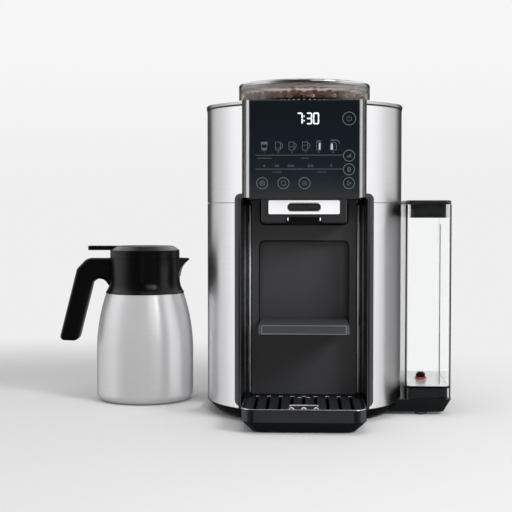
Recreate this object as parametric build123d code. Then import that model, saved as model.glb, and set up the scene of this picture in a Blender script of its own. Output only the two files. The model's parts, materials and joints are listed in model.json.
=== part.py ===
from build123d import *
import math
import os

# Drip coffee maker with a built-in grinder, a water tank on its right side and a thermal carafe.
# Millimetres. Machine frame: x to the right seen from the front, y backwards from the axis of the drum
# that rounds the front, z up from the counter. The finished set is moved at the end so that the middle
# of its footprint is the origin.

# Body
DRUM_R = 134.0            # steel drum that rounds the front
BODY_BACK = 145.0         # drum axis to the flat back
REAR_CORNER_R = 40.0
SHEET = 1.0               # steel sheet
REAR_SPLIT = 105.0        # where the side sheets end and the rear cover begins
REAR_WALL = 2.5
FOOT_H = 4.0
FOOT_R = 9.0
FOOT_X = 85.0
FOOT_Y = (-68.0, 108.0)
DOCK_FOOT_X = 159.0
DOCK_FOOT_Y = (-38.0, 80.0)
PLINTH_TOP = 17.0
PLINTH_CHAMFER = 12.0
BASE_FLOOR = 3.0
SEAM_Z = 286.0            # seam between the lower and the upper sheets
SEAM_GAP = 0.7
MID_DECK_T = 4.0
DECK_Z = 418.5            # top of the body
DECK_T = 3.5
TRIM_H = 4.5              # bright band round the top
TRIM_W = 3.0
TRIM_PROUD = 1.0          # how far the band stands out over the sheets
FLANGE_H = 2.0            # black line under the bright band
FLANGE_W = 6.0
FIT = 0.3                 # gap between neighbouring casings
RUN = 0.05                # running clearance on a radius
SNUG = 0.02               # clearance on a radius of a part pressed in place

# Bay
MOUTH_HALF = 90.5         # outer half width of the bay frame
MOUTH_TOP = 298.0
MOUTH_CORNER_R = 8.0
LIP_W = 8.0
LIP_FOOT_Z = 19.4         # lowest point of the lip's rounded foot
LIP_FOOT_R = 8.0
LIP_PROUD = 0.6
LIP_DEPTH = 4.0
BAY_HALF = 70.5           # half width at the bay panel
BAY_WALL = 3.0
BAY_LEDGE_W = 5.0         # ledge between the flared wall and the panel
BAY_LEDGE_RISE = 1.0
BAY_LEDGE_R = 6.0         # hollow where the wall meets the ledge
PANEL_Y = -66.0           # front face of the bay panel
CEILING_Z = 291.0
CEILING_T = 2.0
TUNNEL_BACK = 45.0        # how far back the bay walls run beside the grounds bin

# Display
DISPLAY_HALF = 70.8
DISPLAY_FACE_Y = -114.0
DISPLAY_BACK_Y = -97.0
DISPLAY_WALL = 2.8
DISPLAY_BAR_H = 8.0       # bar under the glass
GLASS_T = 2.0
BOARD_T = 1.6
ROD_W = 9.2
ROD_DEPTH = 9.0
ROD_PROUD = 2.0
ROD_EDGE_R = 2.5

# Spout head
SPOUT_HALF = 55.5
SPOUT_FRONT_Y = -111.0
SPOUT_BACK_GAP = 0.5      # between the head and the mid deck behind it
SPOUT_BOTTOM = 259.5
SPOUT_EDGE_R = 4.0
SPOUT_WALL = 2.5
PLATE_HALF = 46.0
PLATE_LOW = 271.0
PLATE_H = 19.0
PLATE_T = 2.0
NOZZLE_HALF = 22.7
NOZZLE_H = 10.5
NOZZLE_DEPTH = 16.0
NOZZLE_PROUD = 1.0
OUTLET_R = 2.6
OUTLET_SPACING = 18.0

# Bay panel, pocket and cup shelf
PANEL_T = 3.0
PANEL_SIDE_GAP = 0.8
NOTCH_SIDE_GAP = 2.0
NOTCH_BOTTOM_GAP = 1.5
NOTCH_CORNER_R = 6.0
SHELF_HALF = 57.2
SHELF_TOP = 132.0
SHELF_T = 11.6
SHELF_LEN = 100.0         # hinge axis to the front edge
SHELF_PLATE_T = 3.0
SHELF_PLATE_INSET = 0.4
SHELF_CORNER_R = 4.0
SHELF_ROD_R = 1.75
SHELF_DRAIN = (9.0, 3.6)
SHELF_DRAIN_X = 41.0
POCKET_SIDE_GAP = 1.3
POCKET_GAP = 0.5
POCKET_FINGER = 8.5       # finger room above the folded shelf
POCKET_WALL = 2.0
POCKET_LOW_R = 0.8
POCKET_HIGH_R = 6.0

# Drip tray and grounds bin
TRAY_LIP_Y = -193.0
TRAY_HALF = 78.0
TRAY_CORNER_R = 16.0
TRAY_RIM_Z = 30.5
TRAY_RIM_R = 1.0
TRAY_KNEE_Z = 15.0        # where the front chamfer starts
TRAY_FOOT_Z = 1.2
TRAY_FOOT_INSET = 12.0
TRAY_FRONT_GAP = 3.0      # between the drum and the deep front part
TRAY_WAIST_Y = -92.0
TRAY_REAR_HALF = 70.0
TRAY_BOTTOM = 7.0         # underside of the part that runs on the base
TRAY_WALL = 2.5
TRAY_FLOOR = 2.5
TRAY_SIDE_GAP = 1.5
LEDGE_W = 4.0
RUNNER_GAP = 0.5          # under the sliding tray
PLATFORM_HALF = 64.0
PLATFORM_BACK = 38.0
PLATFORM_T = 3.0
GRID_T = 4.0
GRID_DROP = 2.0           # grid top below the rim
GRID_GAP = 0.5
SLOT_W = 4.2
SLOT_PITCH = 15.4
SLOT_SIDE_COUNT = 3       # long slots on each side
SLOT_FRONT_Y = -178.0
SLOT_REAR_Y = -77.0
SHORT_SLOT_FRONT_Y = -140.0
CROSS_Y = -88.0
CROSS_W = 15.0
BAR_Y = -149.0
BAR_W = 44.0
HOLE_Y = -166.0
HOLE_R = 5.0
FLOAT_R = 11.0
FLOAT_H = 8.5
FLOAT_STEM_R = 3.8
BIN_HALF = 60.0
BIN_H = 140.0
BIN_WALL = 2.0
BIN_FRONT_GAP = 1.5

# Hopper
HOPPER_Y = -25.0
HOPPER_R = 89.0
HOPPER_WALL = 2.5
HOPPER_NECK_R = 69.5      # where it passes the deck
HOPPER_H = 22.5           # round wall above the deck
HOPPER_LID_T = 5.0
HOPPER_LID_EDGE_R = 2.5
HOPPER_LID_PLUG = 7.0
SEAL_T = 1.4
SEAL_H = 2.4
THROAT_R = 18.0
THROAT_Z = 352.0
THROAT_H = 4.0

# Grinder
GRINDER_R = 26.5
GRINDER_FLOOR = 4.0
BURR_R = 22.0
BURR_SEAT_W = 2.5
RING_BURR_Z = 322.0
RING_BURR_H = 20.0
RING_BURR_LOW_R = 15.0
RING_BURR_HIGH_R = 18.5
CONE_BURR_LOW_R = 14.4
CONE_BURR_HIGH_R = 7.0
CONE_BURR_DROP = 2.0
CONE_BURR_H = 24.0
FLUTES = 8
FLUTE_W = 2.4
FLUTE_LEAN = 17.0         # slope of the cone in degrees
SHAFT_R = 4.0
GEAR_MODULE = 1.0
GEAR_TEETH = 60
PINION_TEETH = 14
GEAR_W = 8.0
GEAR_LIFT = 3.0
GEAR_HUB_R = 9.0
ADDENDUM = 0.8
DEDENDUM = 1.1
BACKLASH = 0.12
PRESSURE_ANGLE = math.radians(20.0)
FLANK_STEPS = 3
CASE_GAP = 2.0
CASE_WALL = 2.5
CASE_H = 17.0
MOTOR_R = 19.0
MOTOR_L = 58.0
MOTOR_CAP_R = 10.0
MOTOR_CAP_L = 6.0
MOTOR_SHAFT_R = 2.5
MOTOR_SHAFT_DEPTH = 8.0

# Brew unit
BREW_R = 21.0
BREW_GAP = 1.0            # between the chamber and the bay's wall
BREW_BORE_R = 17.0
BREW_BOTTOM = 158.0
BREW_FLOOR_Z = 176.0
BREW_FLOOR_T = 4.0
PISTON_Z = 204.5
PISTON_T = 9.5
PISTON_STEM_R = 9.0
PISTON_STEM_L = 20.5
PISTON_TRAVEL = 25.0      # from the lower edge of the window to just below its top
SPINDLE_R = 4.5
WINDOW_W = 24.0
CHUTE_W = 24.0
CHUTE_WALL = 2.0
CHUTE_RISE = 6.0          # above the seat of the ring burr

# Water circuit and electrics
PUMP_OFFSET = 3.75        # towards the bay from the middle of the space beside it
PUMP_Z = 29.0
PUMP_R = 17.0
PUMP_FRONT_Y = 36.0
PUMP_L = 52.0
NIPPLE_R = 4.0
NIPPLE_L = 8.0
FLOW_R = 12.0
FLOW_H = 27.0
HEATER_SIDE_GAP = 16.0    # to the drum
HEATER_BAY_GAP = 8.5      # to the bay wall
HEATER_FRONT_Y = 0.0
HEATER_L = 90.0
HEATER_TOP = 170.0
HEATER_RIBS = 6
HEATER_GROOVE = 4.0
HOSE_R = 3.5
HOSE_BORE_R = 2.2
HOSE_BEND_R = 12.0
POWER_BOARD_HALF = 58.0
POWER_BOARD_Y = 100.0
POWER_BOARD_TOP = 125.0
INLET_X = -60.0
INLET_Z = 45.0
INLET_HALF = (13.7, 10.0)
INLET_FLANGE = (16.0, 12.5)
INLET_FLANGE_T = 1.5
INLET_DEPTH = 24.0
INLET_SOCKET = (12.0, 8.0)
INLET_PIN = (4.0, 2.0, 13.0)
SWITCH_X = -18.0
SWITCH_HALF = (9.4, 10.5)
SWITCH_BOX_WALL = 2.0
SWITCH_BOX_DEPTH = 15.0
SWITCH_PIVOT_IN = 5.0     # pivot axis inside the back face
SWITCH_PIVOT_R = 1.5
SWITCH_TILT = 7.0
VENT_COUNT = 11
VENT_PITCH = 12.0
VENT_W = 3.0
VENT_LOW = 320.0
VENT_H = 60.0
SCREW_HEAD_R = 3.5
SCREW_HEAD_H = 2.0
SCREW_R = 1.6
SCREW_L = 10.0
REAR_SCREW_X = 80.0
REAR_SCREW_Z = (40.0, 220.0, 390.0)
BASE_SCREW_FRONT = (95.0, -30.0)
BASE_SCREW_REAR = (40.0, 115.0)

# Water tank and dock
TANK_GAP = 3.0            # between the drum and the tank
TANK_W = 61.5
TANK_FRONT = -53.0
TANK_BACK = 97.0
TANK_CORNER_R = 10.0
TANK_WALL = 2.5
TANK_RIM_Z = 284.0
TANK_FLOOR_T = 3.0
DOCK_MARGIN = 3.0
DOCK_TOP = 22.0
DOCK_LEAN = 9.0           # how far the dock's sides lean in towards the counter
DOCK_STEP_H = 14.0
DOCK_STEP_GAP = 1.5
PORT_IN = 27.0            # tank's left side to its port
PORT_Y = 15.7
PORT_Z = 11.5
PORT_R = 5.0
SPIGOT_R = 4.0
SPIGOT_BORE_R = 2.6
SPIGOT_H = 2.0
VALVE_STEM_R = 3.4
VALVE_HEAD_R = 6.5
VALVE_HEAD_H = 7.0
VALVE_SEAL_R = 8.0
VALVE_SEAL_T = 2.4
VALVE_LIFT = 1.1          # how far the dock holds the seal off the tank floor
TANK_LID_T = 5.7
TANK_LID_INSET = 0.5
TANK_LID_EDGE_R = 2.0
TANK_SKIRT_INSET = 7.0
TANK_SKIRT_H = 18.0
TANK_PIN_R = 1.5
TANK_KNUCKLE_R = 3.7
TANK_PIN_OUT = 4.2        # pin axis behind the tank's back wall
TANK_LUG_IN = 13.0        # tank's left side to the first lug
TANK_LUG_SPAN = 36.0
TANK_LUG_W = 6.0

# Carafe
CARAFE_X = -232.7
CARAFE_Y = 72.0
CARAFE_R = 70.3
CARAFE_FOOT_R = 12.0
CARAFE_BELLY_Z = 72.0     # where the straight side starts to close in
CARAFE_SHOULDER_R = 56.4
CARAFE_SHOULDER_Z = 156.0
CARAFE_NECK_R = 47.0
CARAFE_NECK_Z = 180.0
CARAFE_SHELL_T = 2.0
CARAFE_JACKET = 4.5       # outer surface of the shell to the inner vessel
CARAFE_LINER_T = 1.0
COLLAR_TOP = 206.5
COLLAR_WAIST_R = 51.0
COLLAR_WAIST_Z = 175.0    # where the collar starts to flare out
COLLAR_BAND_H = 1.5       # upright band at the collar's foot
COLLAR_PROUD = 0.6
BEAK_REACH = 64.5
BEAK_HALF = 22.0
BEAK_TIP_HALF = 5.0
BEAK_WALL = 3.0
BEAK_LOW_Z = 180.0
BEAK_HOLLOW = (55.0, 193.5)    # middle of the hollow under the lip
BEAK_TIP_Z = 203.5
LID_R = 50.5
LID_PLUG_R = 46.6
LID_PLUG_Z = 186.0
LID_SHOULDER_Z = 218.5
LID_TOP_R = 42.0
LID_TOP_Z = 224.0
LID_WALL = 2.6
LID_CEILING_Z = 210.0
LEVER_REACH = 82.4
LEVER_INNER = 8.0
LEVER_HALF = 10.8
LEVER_T = 6.0
LEVER_PIN_X = 30.0        # pivot, from the carafe's axis towards the handle
LEVER_PIN_R = 1.5
LEVER_HUB_R = 3.2
LEVER_SLOT_GAP = 0.7
LEVER_SLOT_Z = 213.5
HANDLE_HALF = 12.0
HANDLE_EDGE_R = 5.0
HANDLE_ROOT_X = 45.0      # hidden end inside the collar
HANDLE_DROP = 0.2         # top below the collar's top
HANDLE_KNEE_X = 84.0      # end of the level stretch
HANDLE_ELBOW = (99.0, 191.0)
HANDLE_FOOT = (125.8, 86.0)
HANDLE_HEEL = (98.0, 85.0)
HANDLE_ARCH = (76.0, 170.5)     # where the grip starts to bend into the arch
HANDLE_CROWN = (64.0, 182.5)
HANDLE_SPRING = (51.5, 165.5)   # where the arch meets the collar
HANDLE_ROUNDS = [0, 12, 10, 6, 9, 6, 12, 0, 0]    # corner radii from the root round to the root

# Values that follow from the ones above
STEEL_TOP = DECK_Z - TRIM_H - FLANGE_H
FLOOR_Z = FOOT_H + BASE_FLOOR
MID_TOP = SEAM_Z + MID_DECK_T
CHANNEL_Z = TRAY_BOTTOM - RUNNER_GAP
MID_FRONT_Y = PANEL_Y + 4.0
SPOUT_BACK_Y = MID_FRONT_Y - SPOUT_BACK_GAP
DISPLAY_BOTTOM = CEILING_Z + CEILING_T
ROD_X = DISPLAY_HALF + FIT
DISPLAY_ZONE = ROD_X + ROD_W + FIT
SHELF_HINGE_Y = PANEL_Y + FIT + SHELF_T / 2
SHELF_HINGE_Z = SHELF_TOP - SHELF_T / 2
SHELF_SPLIT_Z = SHELF_TOP - SHELF_PLATE_T
SHELF_FRONT_Y = SHELF_HINGE_Y - SHELF_LEN
POCKET_HALF = SHELF_HALF + POCKET_SIDE_GAP
POCKET_BACK_Y = SHELF_HINGE_Y + SHELF_T / 2 + POCKET_GAP
POCKET_LOW = SHELF_HINGE_Z - SHELF_T / 2 - POCKET_GAP
POCKET_HIGH = SHELF_HINGE_Z + SHELF_LEN + POCKET_FINGER
TRAY_REAR_Y = PANEL_Y - 1.0
TRAY_STEP_Y = -DRUM_R - TRAY_FRONT_GAP
PLATFORM_Z = TRAY_BOTTOM + PLATFORM_T
BASIN_Z = TRAY_BOTTOM + TRAY_FLOOR
GRID_TOP = TRAY_RIM_Z - GRID_DROP
GRID_Z = GRID_TOP - GRID_T
HOPPER_RIM_Z = DECK_Z + HOPPER_H
HOPPER_LID_Z = HOPPER_RIM_Z + HOPPER_LID_T
BAY_OUT = BAY_HALF + BAY_WALL
BREW_X = -(BAY_HALF - BREW_R - BREW_GAP)
PUMP_X = (BAY_OUT + DRUM_R) / 2 - PUMP_OFFSET
HEATER_OUT = DRUM_R - HEATER_SIDE_GAP
HEATER_IN = BAY_OUT + HEATER_BAY_GAP
HEATER_X = -(HEATER_OUT + HEATER_IN) / 2
HEATER_W = HEATER_OUT - HEATER_IN
CHUTE_TOP = RING_BURR_Z + CHUTE_RISE
WINDOW_LOW = PISTON_Z + PISTON_T
WINDOW_TOP = WINDOW_LOW + PISTON_TRAVEL + 1.0
GEAR_Z = MID_TOP + GEAR_LIFT
PINION_Y = HOPPER_Y + GEAR_MODULE * (GEAR_TEETH + PINION_TEETH) / 2
CASE_TOP = MID_TOP + CASE_H
TANK_LEFT = DRUM_R + TANK_GAP
TANK_RIGHT = TANK_LEFT + TANK_W
TANK_LUG_X = (TANK_LEFT + TANK_LUG_IN, TANK_LEFT + TANK_LUG_IN + TANK_LUG_SPAN)
PORT_X = TANK_LEFT + PORT_IN
TANK_SEAT_Z = DOCK_TOP + FIT
TANK_FLOOR_Z = DOCK_TOP + DOCK_STEP_H + FIT
TANK_INSIDE_Z = TANK_FLOOR_Z + TANK_FLOOR_T
TANK_PIN_Y = TANK_BACK + TANK_PIN_OUT
TANK_PIN_Z = TANK_RIM_Z + 2.0
TANK_LID_Z = TANK_RIM_Z + FIT
VALVE_SEAL_Z = TANK_INSIDE_Z + VALVE_LIFT
SWITCH_PIVOT_Y = BODY_BACK - SWITCH_PIVOT_IN
LEVER_Z = LID_TOP_Z + 0.2 - LEVER_T
LEVER_PIN_Z = LEVER_Z + 1.4
OVER = 1.0                # how far a cut runs past the face it opens


def block(x, y, z):
    """Box between pairs of limits."""
    size = [limits[1] - limits[0] for limits in (x, y, z)]
    middle = [(limits[0] + limits[1]) / 2 for limits in (x, y, z)]
    return Pos(*middle) * Box(*size)


def post(radius, z0, z1, x=0.0, y=0.0):
    """Upright cylinder."""
    return Pos(x, y, (z0 + z1) / 2) * Cylinder(radius, z1 - z0)


def bar_x(radius, x0, x1, y, z):
    """Cylinder lying along x."""
    return Pos((x0 + x1) / 2, y, z) * Rot(0, 90, 0) * Cylinder(radius, x1 - x0)


def bar_y(radius, y0, y1, x, z):
    """Cylinder lying along y."""
    return Pos(x, (y0 + y1) / 2, z) * Rot(90, 0, 0) * Cylinder(radius, y1 - y0)


def outline(points, radius=0.0):
    """Face inside a closed outline, its corners rounded by one radius or by a list of them."""
    if radius == 0.0:
        return make_face(Polyline(*points, close=True))
    return make_face(FilletPolyline(*points, radius=radius, close=True))


def upright(face, z0, z1):
    """Plan face raised from z0 to z1."""
    return extrude(Pos(0, 0, z0) * face, z1 - z0)


def front_prism(face, y0, y1):
    """Front-view face (x, z) carried from y0 back to y1."""
    return extrude(Plane.XZ.offset(-y0) * face, y0 - y1)


def side_prism(face, x0, x1):
    """Side-view face (y, z) carried from x0 to x1."""
    return extrude(Plane.YZ.offset(x0) * face, x1 - x0)


def turned(points, x=0.0, y=0.0):
    """Solid of revolution about an upright axis, from (radius, z) points."""
    return Pos(x, y, 0) * revolve(Plane.XZ * outline(points), Axis.Z)


def rounded_plan(x, y, radius):
    """Rounded rectangle between pairs of limits."""
    corners = [(x[0], y[0]), (x[1], y[0]), (x[1], y[1]), (x[0], y[1])]
    return outline(corners, radius)


def hose(points, bend=HOSE_BEND_R):
    """Hose along straight runs joined by bends."""
    path = FilletPolyline(*points, radius=bend) if len(points) > 2 else Polyline(*points)
    ring = Plane(origin=path @ 0, z_dir=path % 0) * (Circle(HOSE_R) - Circle(HOSE_BORE_R))
    return sweep(ring, path=path)


def body_face(inset):
    """Plan of the body: half circle in front, straight sides, rounded rear corners."""
    r = DRUM_R - inset
    back = BODY_BACK - inset
    corner = REAR_CORNER_R - inset
    cut = corner * (1 - math.sqrt(0.5))
    edges = [
        ThreePointArc((-r, 0), (0, -r), (r, 0)),
        Line((r, 0), (r, back - corner)),
        ThreePointArc((r, back - corner), (r - cut, back - cut), (r - corner, back)),
        Line((r - corner, back), (corner - r, back)),
        ThreePointArc((corner - r, back), (cut - r, back - cut), (-r, back - corner)),
        Line((-r, back - corner), (-r, 0)),
    ]
    return make_face(edges)


def body_slab(inset, z0, z1):
    """Body plan, set in by a distance, between two heights."""
    return upright(body_face(inset), z0, z1)


def body_ring(outer, inner, z0, z1):
    """Wall between two insets of the body plan."""
    return body_slab(outer, z0, z1) - body_slab(inner, z0 - OVER, z1 + OVER)


def mouth(gap):
    """Front-view space of the bay frame, widened by a gap."""
    half = MOUTH_HALF + gap
    low = LIP_FOOT_Z - gap
    top = MOUTH_TOP + gap
    corners = [(-half, low), (half, low), (half, top), (-half, top)]
    face = outline(corners, [LIP_FOOT_R, LIP_FOOT_R, MOUTH_CORNER_R, MOUTH_CORNER_R])
    front = -DRUM_R - 10
    gate = MOUTH_HALF - LIP_W + gap
    return front_prism(face, front, -40) + block((-gate, gate), (front, -40), (PLINTH_TOP - OVER, low + OVER))


def tray_plan(inset):
    """Plan of the tray: rounded front corners, waist where it enters the bay."""
    half = TRAY_HALF - inset
    rear_half = TRAY_REAR_HALF - inset
    front = TRAY_LIP_Y + inset
    rear = TRAY_REAR_Y - inset
    corner = max(TRAY_CORNER_R - inset, 2.0)
    points = [(-half, front), (half, front), (half, TRAY_WAIST_Y), (rear_half, rear),
              (-rear_half, rear), (-half, TRAY_WAIST_Y)]
    return outline(points, [corner, corner, 2.0, 1.0, 1.0, 2.0])


def tray_front_plan(inset):
    """Plan of the deep part of the tray in front of the drum."""
    half = TRAY_HALF - inset
    front = TRAY_LIP_Y + inset
    points = [(-half, front), (half, front), (half, TRAY_STEP_Y), (-half, TRAY_STEP_Y)]
    return outline(points, [TRAY_CORNER_R, TRAY_CORNER_R, 0, 0])


def screw_places():
    """Head positions and directions of the case screws: rear cover, then base."""
    rear = [(x, BODY_BACK, z) for x in (-REAR_SCREW_X, REAR_SCREW_X) for z in REAR_SCREW_Z]
    base = [(side * x, y, FOOT_H) for x, y in (BASE_SCREW_FRONT, BASE_SCREW_REAR) for side in (-1, 1)]
    return rear, base


def screw():
    """Screw with its head's underside at the origin and its shank along +z."""
    return post(SCREW_HEAD_R, -SCREW_HEAD_H, 0) + post(SCREW_R, -SCREW_HEAD_H / 2, SCREW_L)


def case_screws():
    """All case screws, alike."""
    rear, base = screw_places()
    screws = [Pos(*place) * Rot(90, 0, 0) * screw() for place in rear]
    screws += [Pos(*place) * screw() for place in base]
    return Compound(screws)


def foot_places():
    """Plan positions of the feet: four under the drum body, two under the tank dock."""
    body = [(x, y) for y in FOOT_Y for x in (-FOOT_X, FOOT_X)]
    return body + [(DOCK_FOOT_X, y) for y in DOCK_FOOT_Y]


def rubber_feet():
    """Turned rubber feet, slightly narrower at the counter."""
    profile = [(0, 0), (FOOT_R - 1, 0), (FOOT_R, FOOT_H), (0, FOOT_H)]
    return Compound([turned(profile, *place) for place in foot_places()])


def plinth(grow):
    """Chamfered outer form of the plinth, grown by a gap."""
    form = body_slab(-grow, FOOT_H - grow, PLINTH_TOP)
    return chamfer(form.faces().sort_by(Axis.Z)[0].edges(), PLINTH_CHAMFER)


def base_pan():
    """Plinth with a floor, open in front for the tray, with a hole for the tank's hose."""
    pan = plinth(0)
    pan -= body_slab(PLINTH_CHAMFER + BASE_FLOOR, FLOOR_Z, PLINTH_TOP + OVER)
    pan -= upright(tray_plan(-TRAY_SIDE_GAP), CHANNEL_Z, PLINTH_TOP + OVER)
    back = PLATFORM_BACK + TRAY_SIDE_GAP
    half = PLATFORM_HALF + TRAY_SIDE_GAP
    pan -= block((-half, half), (TRAY_REAR_Y - 5, back), (CHANNEL_Z, PLINTH_TOP + OVER))
    pan -= bar_x(HOSE_R + FIT, PUMP_X, DRUM_R + OVER, PORT_Y, PORT_Z)
    for place in screw_places()[1]:
        pan -= Pos(*place) * post(SCREW_R + FIT, -OVER, SCREW_L)
    return pan


def bay_walls():
    """One flared side of the bay with a ledge beside the panel and a straight run beside the bin."""
    opening = MOUTH_HALF - LIP_W
    front_y = -math.sqrt(DRUM_R ** 2 - opening ** 2)
    ledge = BAY_HALF + BAY_LEDGE_W
    back_y = PANEL_Y + BAY_WALL
    points = [(opening, front_y), (ledge, PANEL_Y - BAY_LEDGE_RISE), (BAY_HALF, PANEL_Y), (BAY_HALF, back_y),
              (ledge + BAY_WALL, back_y), (opening + BAY_WALL, front_y)]
    flare = outline(points, [0, BAY_LEDGE_R, 0, 0, 0, 0])
    tunnel = block((BAY_HALF, BAY_HALF + BAY_WALL), (PANEL_Y, TUNNEL_BACK), (FLOOR_Z, SEAM_Z))
    upper = block((BAY_HALF, BAY_HALF + BAY_WALL), (PANEL_Y, PANEL_Y + BAY_WALL), (FLOOR_Z, DISPLAY_BOTTOM))
    sheet_foot = body_ring(-LIP_PROUD, SHEET + FIT, PLINTH_TOP - OVER, LIP_FOOT_Z + LIP_FOOT_R) - mouth(0)
    return upright(flare, PLINTH_TOP, DISPLAY_BOTTOM) - sheet_foot + tunnel + upper


def bay_frame():
    """Lip round the bay's mouth, flared side walls and ceiling, in one moulding."""
    opening = MOUTH_HALF - LIP_W
    lip = body_ring(-LIP_PROUD, LIP_DEPTH, PLINTH_TOP, MOUTH_TOP) & mouth(0)
    lip -= block((-opening, opening), (-DRUM_R - 10, 0), (0, CEILING_Z))
    lip -= block((-DISPLAY_ZONE, DISPLAY_ZONE), (-DRUM_R - 10, 0), (CEILING_Z - OVER, DECK_Z))
    half = BAY_HALF + BAY_WALL
    ceiling = block((-half, half), (DISPLAY_FACE_Y + GLASS_T, PANEL_Y + BAY_WALL),
                    (CEILING_Z, DISPLAY_BOTTOM))
    walls = bay_walls()
    return lip + walls + mirror(walls, Plane.YZ) + ceiling


def lower_sheets():
    """Left and right lower steel sheets."""
    sheets = body_ring(0, SHEET, PLINTH_TOP, SEAM_Z) - mouth(FIT)
    return sheets - block((-200, 200), (REAR_SPLIT, 200), (0, 500))


def upper_sheets():
    """Left and right upper steel sheets, notched over the corners of the bay frame."""
    sheets = body_ring(0, SHEET, SEAM_Z + SEAM_GAP, STEEL_TOP) - mouth(FIT)
    sheets -= block((-DISPLAY_ZONE, DISPLAY_ZONE), (-200, 0), (0, 500))
    return sheets - block((-200, 200), (REAR_SPLIT, 200), (0, 500))


def switch_box(grow):
    """Space of the switch box behind the back face, grown by its wall."""
    half_x = SWITCH_HALF[0] + FIT + grow
    half_z = SWITCH_HALF[1] + 1.2 + grow
    deep = BODY_BACK - SWITCH_BOX_DEPTH - grow
    return block((SWITCH_X - half_x, SWITCH_X + half_x), (deep, BODY_BACK - REAR_WALL / 2),
                 (INLET_Z - half_z, INLET_Z + half_z))


def rear_cover():
    """Rear cover with vents, openings for the inlet and the switch, and the switch box."""
    cover = body_ring(0, REAR_WALL, PLINTH_TOP, STEEL_TOP)
    cover &= block((-200, 200), (REAR_SPLIT + FIT, 200), (0, 500))
    cover += switch_box(SWITCH_BOX_WALL)
    cover -= switch_box(0) + Pos(0, REAR_WALL, 0) * switch_box(0)
    cover -= bar_x(SWITCH_PIVOT_R + RUN, SWITCH_X - 40, SWITCH_X + 40, SWITCH_PIVOT_Y, INLET_Z)
    half_x, half_z = INLET_HALF
    cover -= block((INLET_X - half_x - FIT, INLET_X + half_x + FIT), (BODY_BACK - 10, BODY_BACK + OVER),
                   (INLET_Z - half_z - FIT, INLET_Z + half_z + FIT))
    for index in range(VENT_COUNT):
        x = (index - (VENT_COUNT - 1) / 2) * VENT_PITCH
        cover -= block((x - VENT_W / 2, x + VENT_W / 2), (BODY_BACK - 10, BODY_BACK + OVER),
                       (VENT_LOW, VENT_LOW + VENT_H))
    for place in screw_places()[0]:
        cover -= Pos(*place) * Rot(90, 0, 0) * post(SCREW_R + FIT, -OVER, SCREW_L)
    return cover


def mid_deck():
    """Inner deck at the seam that carries the grinder above and the brew unit below."""
    deck = body_slab(REAR_WALL + 2 * FIT, SEAM_Z, MID_TOP)
    deck -= block((-200, 200), (-200, MID_FRONT_Y), (0, 500))
    deck -= post(SHAFT_R + RUN, 0, 500, 0, HOPPER_Y)
    deck -= post(MOTOR_SHAFT_R + 2, 0, 500, 0, PINION_Y)
    deck -= post(BREW_BORE_R - 3, 0, 500, BREW_X, HOPPER_Y)
    return deck


def display_cut():
    """Space that the display and its rods take out of the top deck and trim."""
    rod_back = DISPLAY_FACE_Y - ROD_PROUD + ROD_DEPTH + FIT
    glass = block((-ROD_X, ROD_X), (-200, DISPLAY_BACK_Y + FIT), (0, 500))
    return glass + block((-DISPLAY_ZONE, DISPLAY_ZONE), (-200, rod_back), (0, 500))


def top_deck():
    """Top deck with the hopper's hole and the black flange under the trim."""
    deck = body_slab(TRIM_W + FIT, DECK_Z - DECK_T, DECK_Z)
    deck += body_ring(TRIM_W + FIT, FLANGE_W, STEEL_TOP, DECK_Z - DECK_T)
    deck += body_ring(-TRIM_PROUD / 2, FLANGE_W, STEEL_TOP, STEEL_TOP + FLANGE_H)
    deck -= post(HOPPER_NECK_R + 1.5, 0, 500, 0, HOPPER_Y)
    return deck - display_cut()


def top_trim():
    """Bright band round the top edge."""
    band = body_ring(-TRIM_PROUD, TRIM_W, STEEL_TOP + FLANGE_H, DECK_Z)
    band = chamfer(band.faces().sort_by(Axis.Z)[-1].outer_wire().edges(), 0.8)
    return band - display_cut()


def display_housing():
    """Tray-shaped housing behind the glass, with the bar under it and posts for the board."""
    seat_y = DISPLAY_FACE_Y + GLASS_T
    glass_low = DISPLAY_BOTTOM + DISPLAY_BAR_H
    inner = DISPLAY_HALF - DISPLAY_WALL
    body = block((-DISPLAY_HALF, DISPLAY_HALF), (seat_y, DISPLAY_BACK_Y), (DISPLAY_BOTTOM, DECK_Z))
    body -= block((-inner, inner), (seat_y - OVER, DISPLAY_BACK_Y - DISPLAY_WALL),
                  (glass_low + DISPLAY_WALL, DECK_Z - DISPLAY_WALL))
    body += block((-DISPLAY_HALF, DISPLAY_HALF), (DISPLAY_FACE_Y, seat_y),
                  (DISPLAY_BOTTOM, glass_low - FIT))
    for x in (-50, 50):
        for z in (glass_low + 15, DECK_Z - 15):
            body += bar_y(3.0, board_y() + BOARD_T, DISPLAY_BACK_Y - DISPLAY_WALL / 2, x, z)
    return body


def board_y():
    """Front face of the display board, clear of the glass."""
    return DISPLAY_FACE_Y + GLASS_T + 3.0


def display_glass():
    """Flat black glass with a small edge chamfer."""
    glass_low = DISPLAY_BOTTOM + DISPLAY_BAR_H
    glass = block((-DISPLAY_HALF, DISPLAY_HALF), (DISPLAY_FACE_Y, DISPLAY_FACE_Y + GLASS_T),
                  (glass_low, DECK_Z))
    return chamfer(glass.faces().sort_by(Axis.Y)[0].edges(), 0.4)


def trim_rods():
    """Upright chrome rods on both sides of the glass."""
    front = DISPLAY_FACE_Y - ROD_PROUD
    face = rounded_plan((ROD_X, ROD_X + ROD_W), (front, front + ROD_DEPTH), ROD_EDGE_R)
    rod = upright(face, DISPLAY_BOTTOM, DECK_Z)
    return Compound([rod, mirror(rod, Plane.YZ)])


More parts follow.
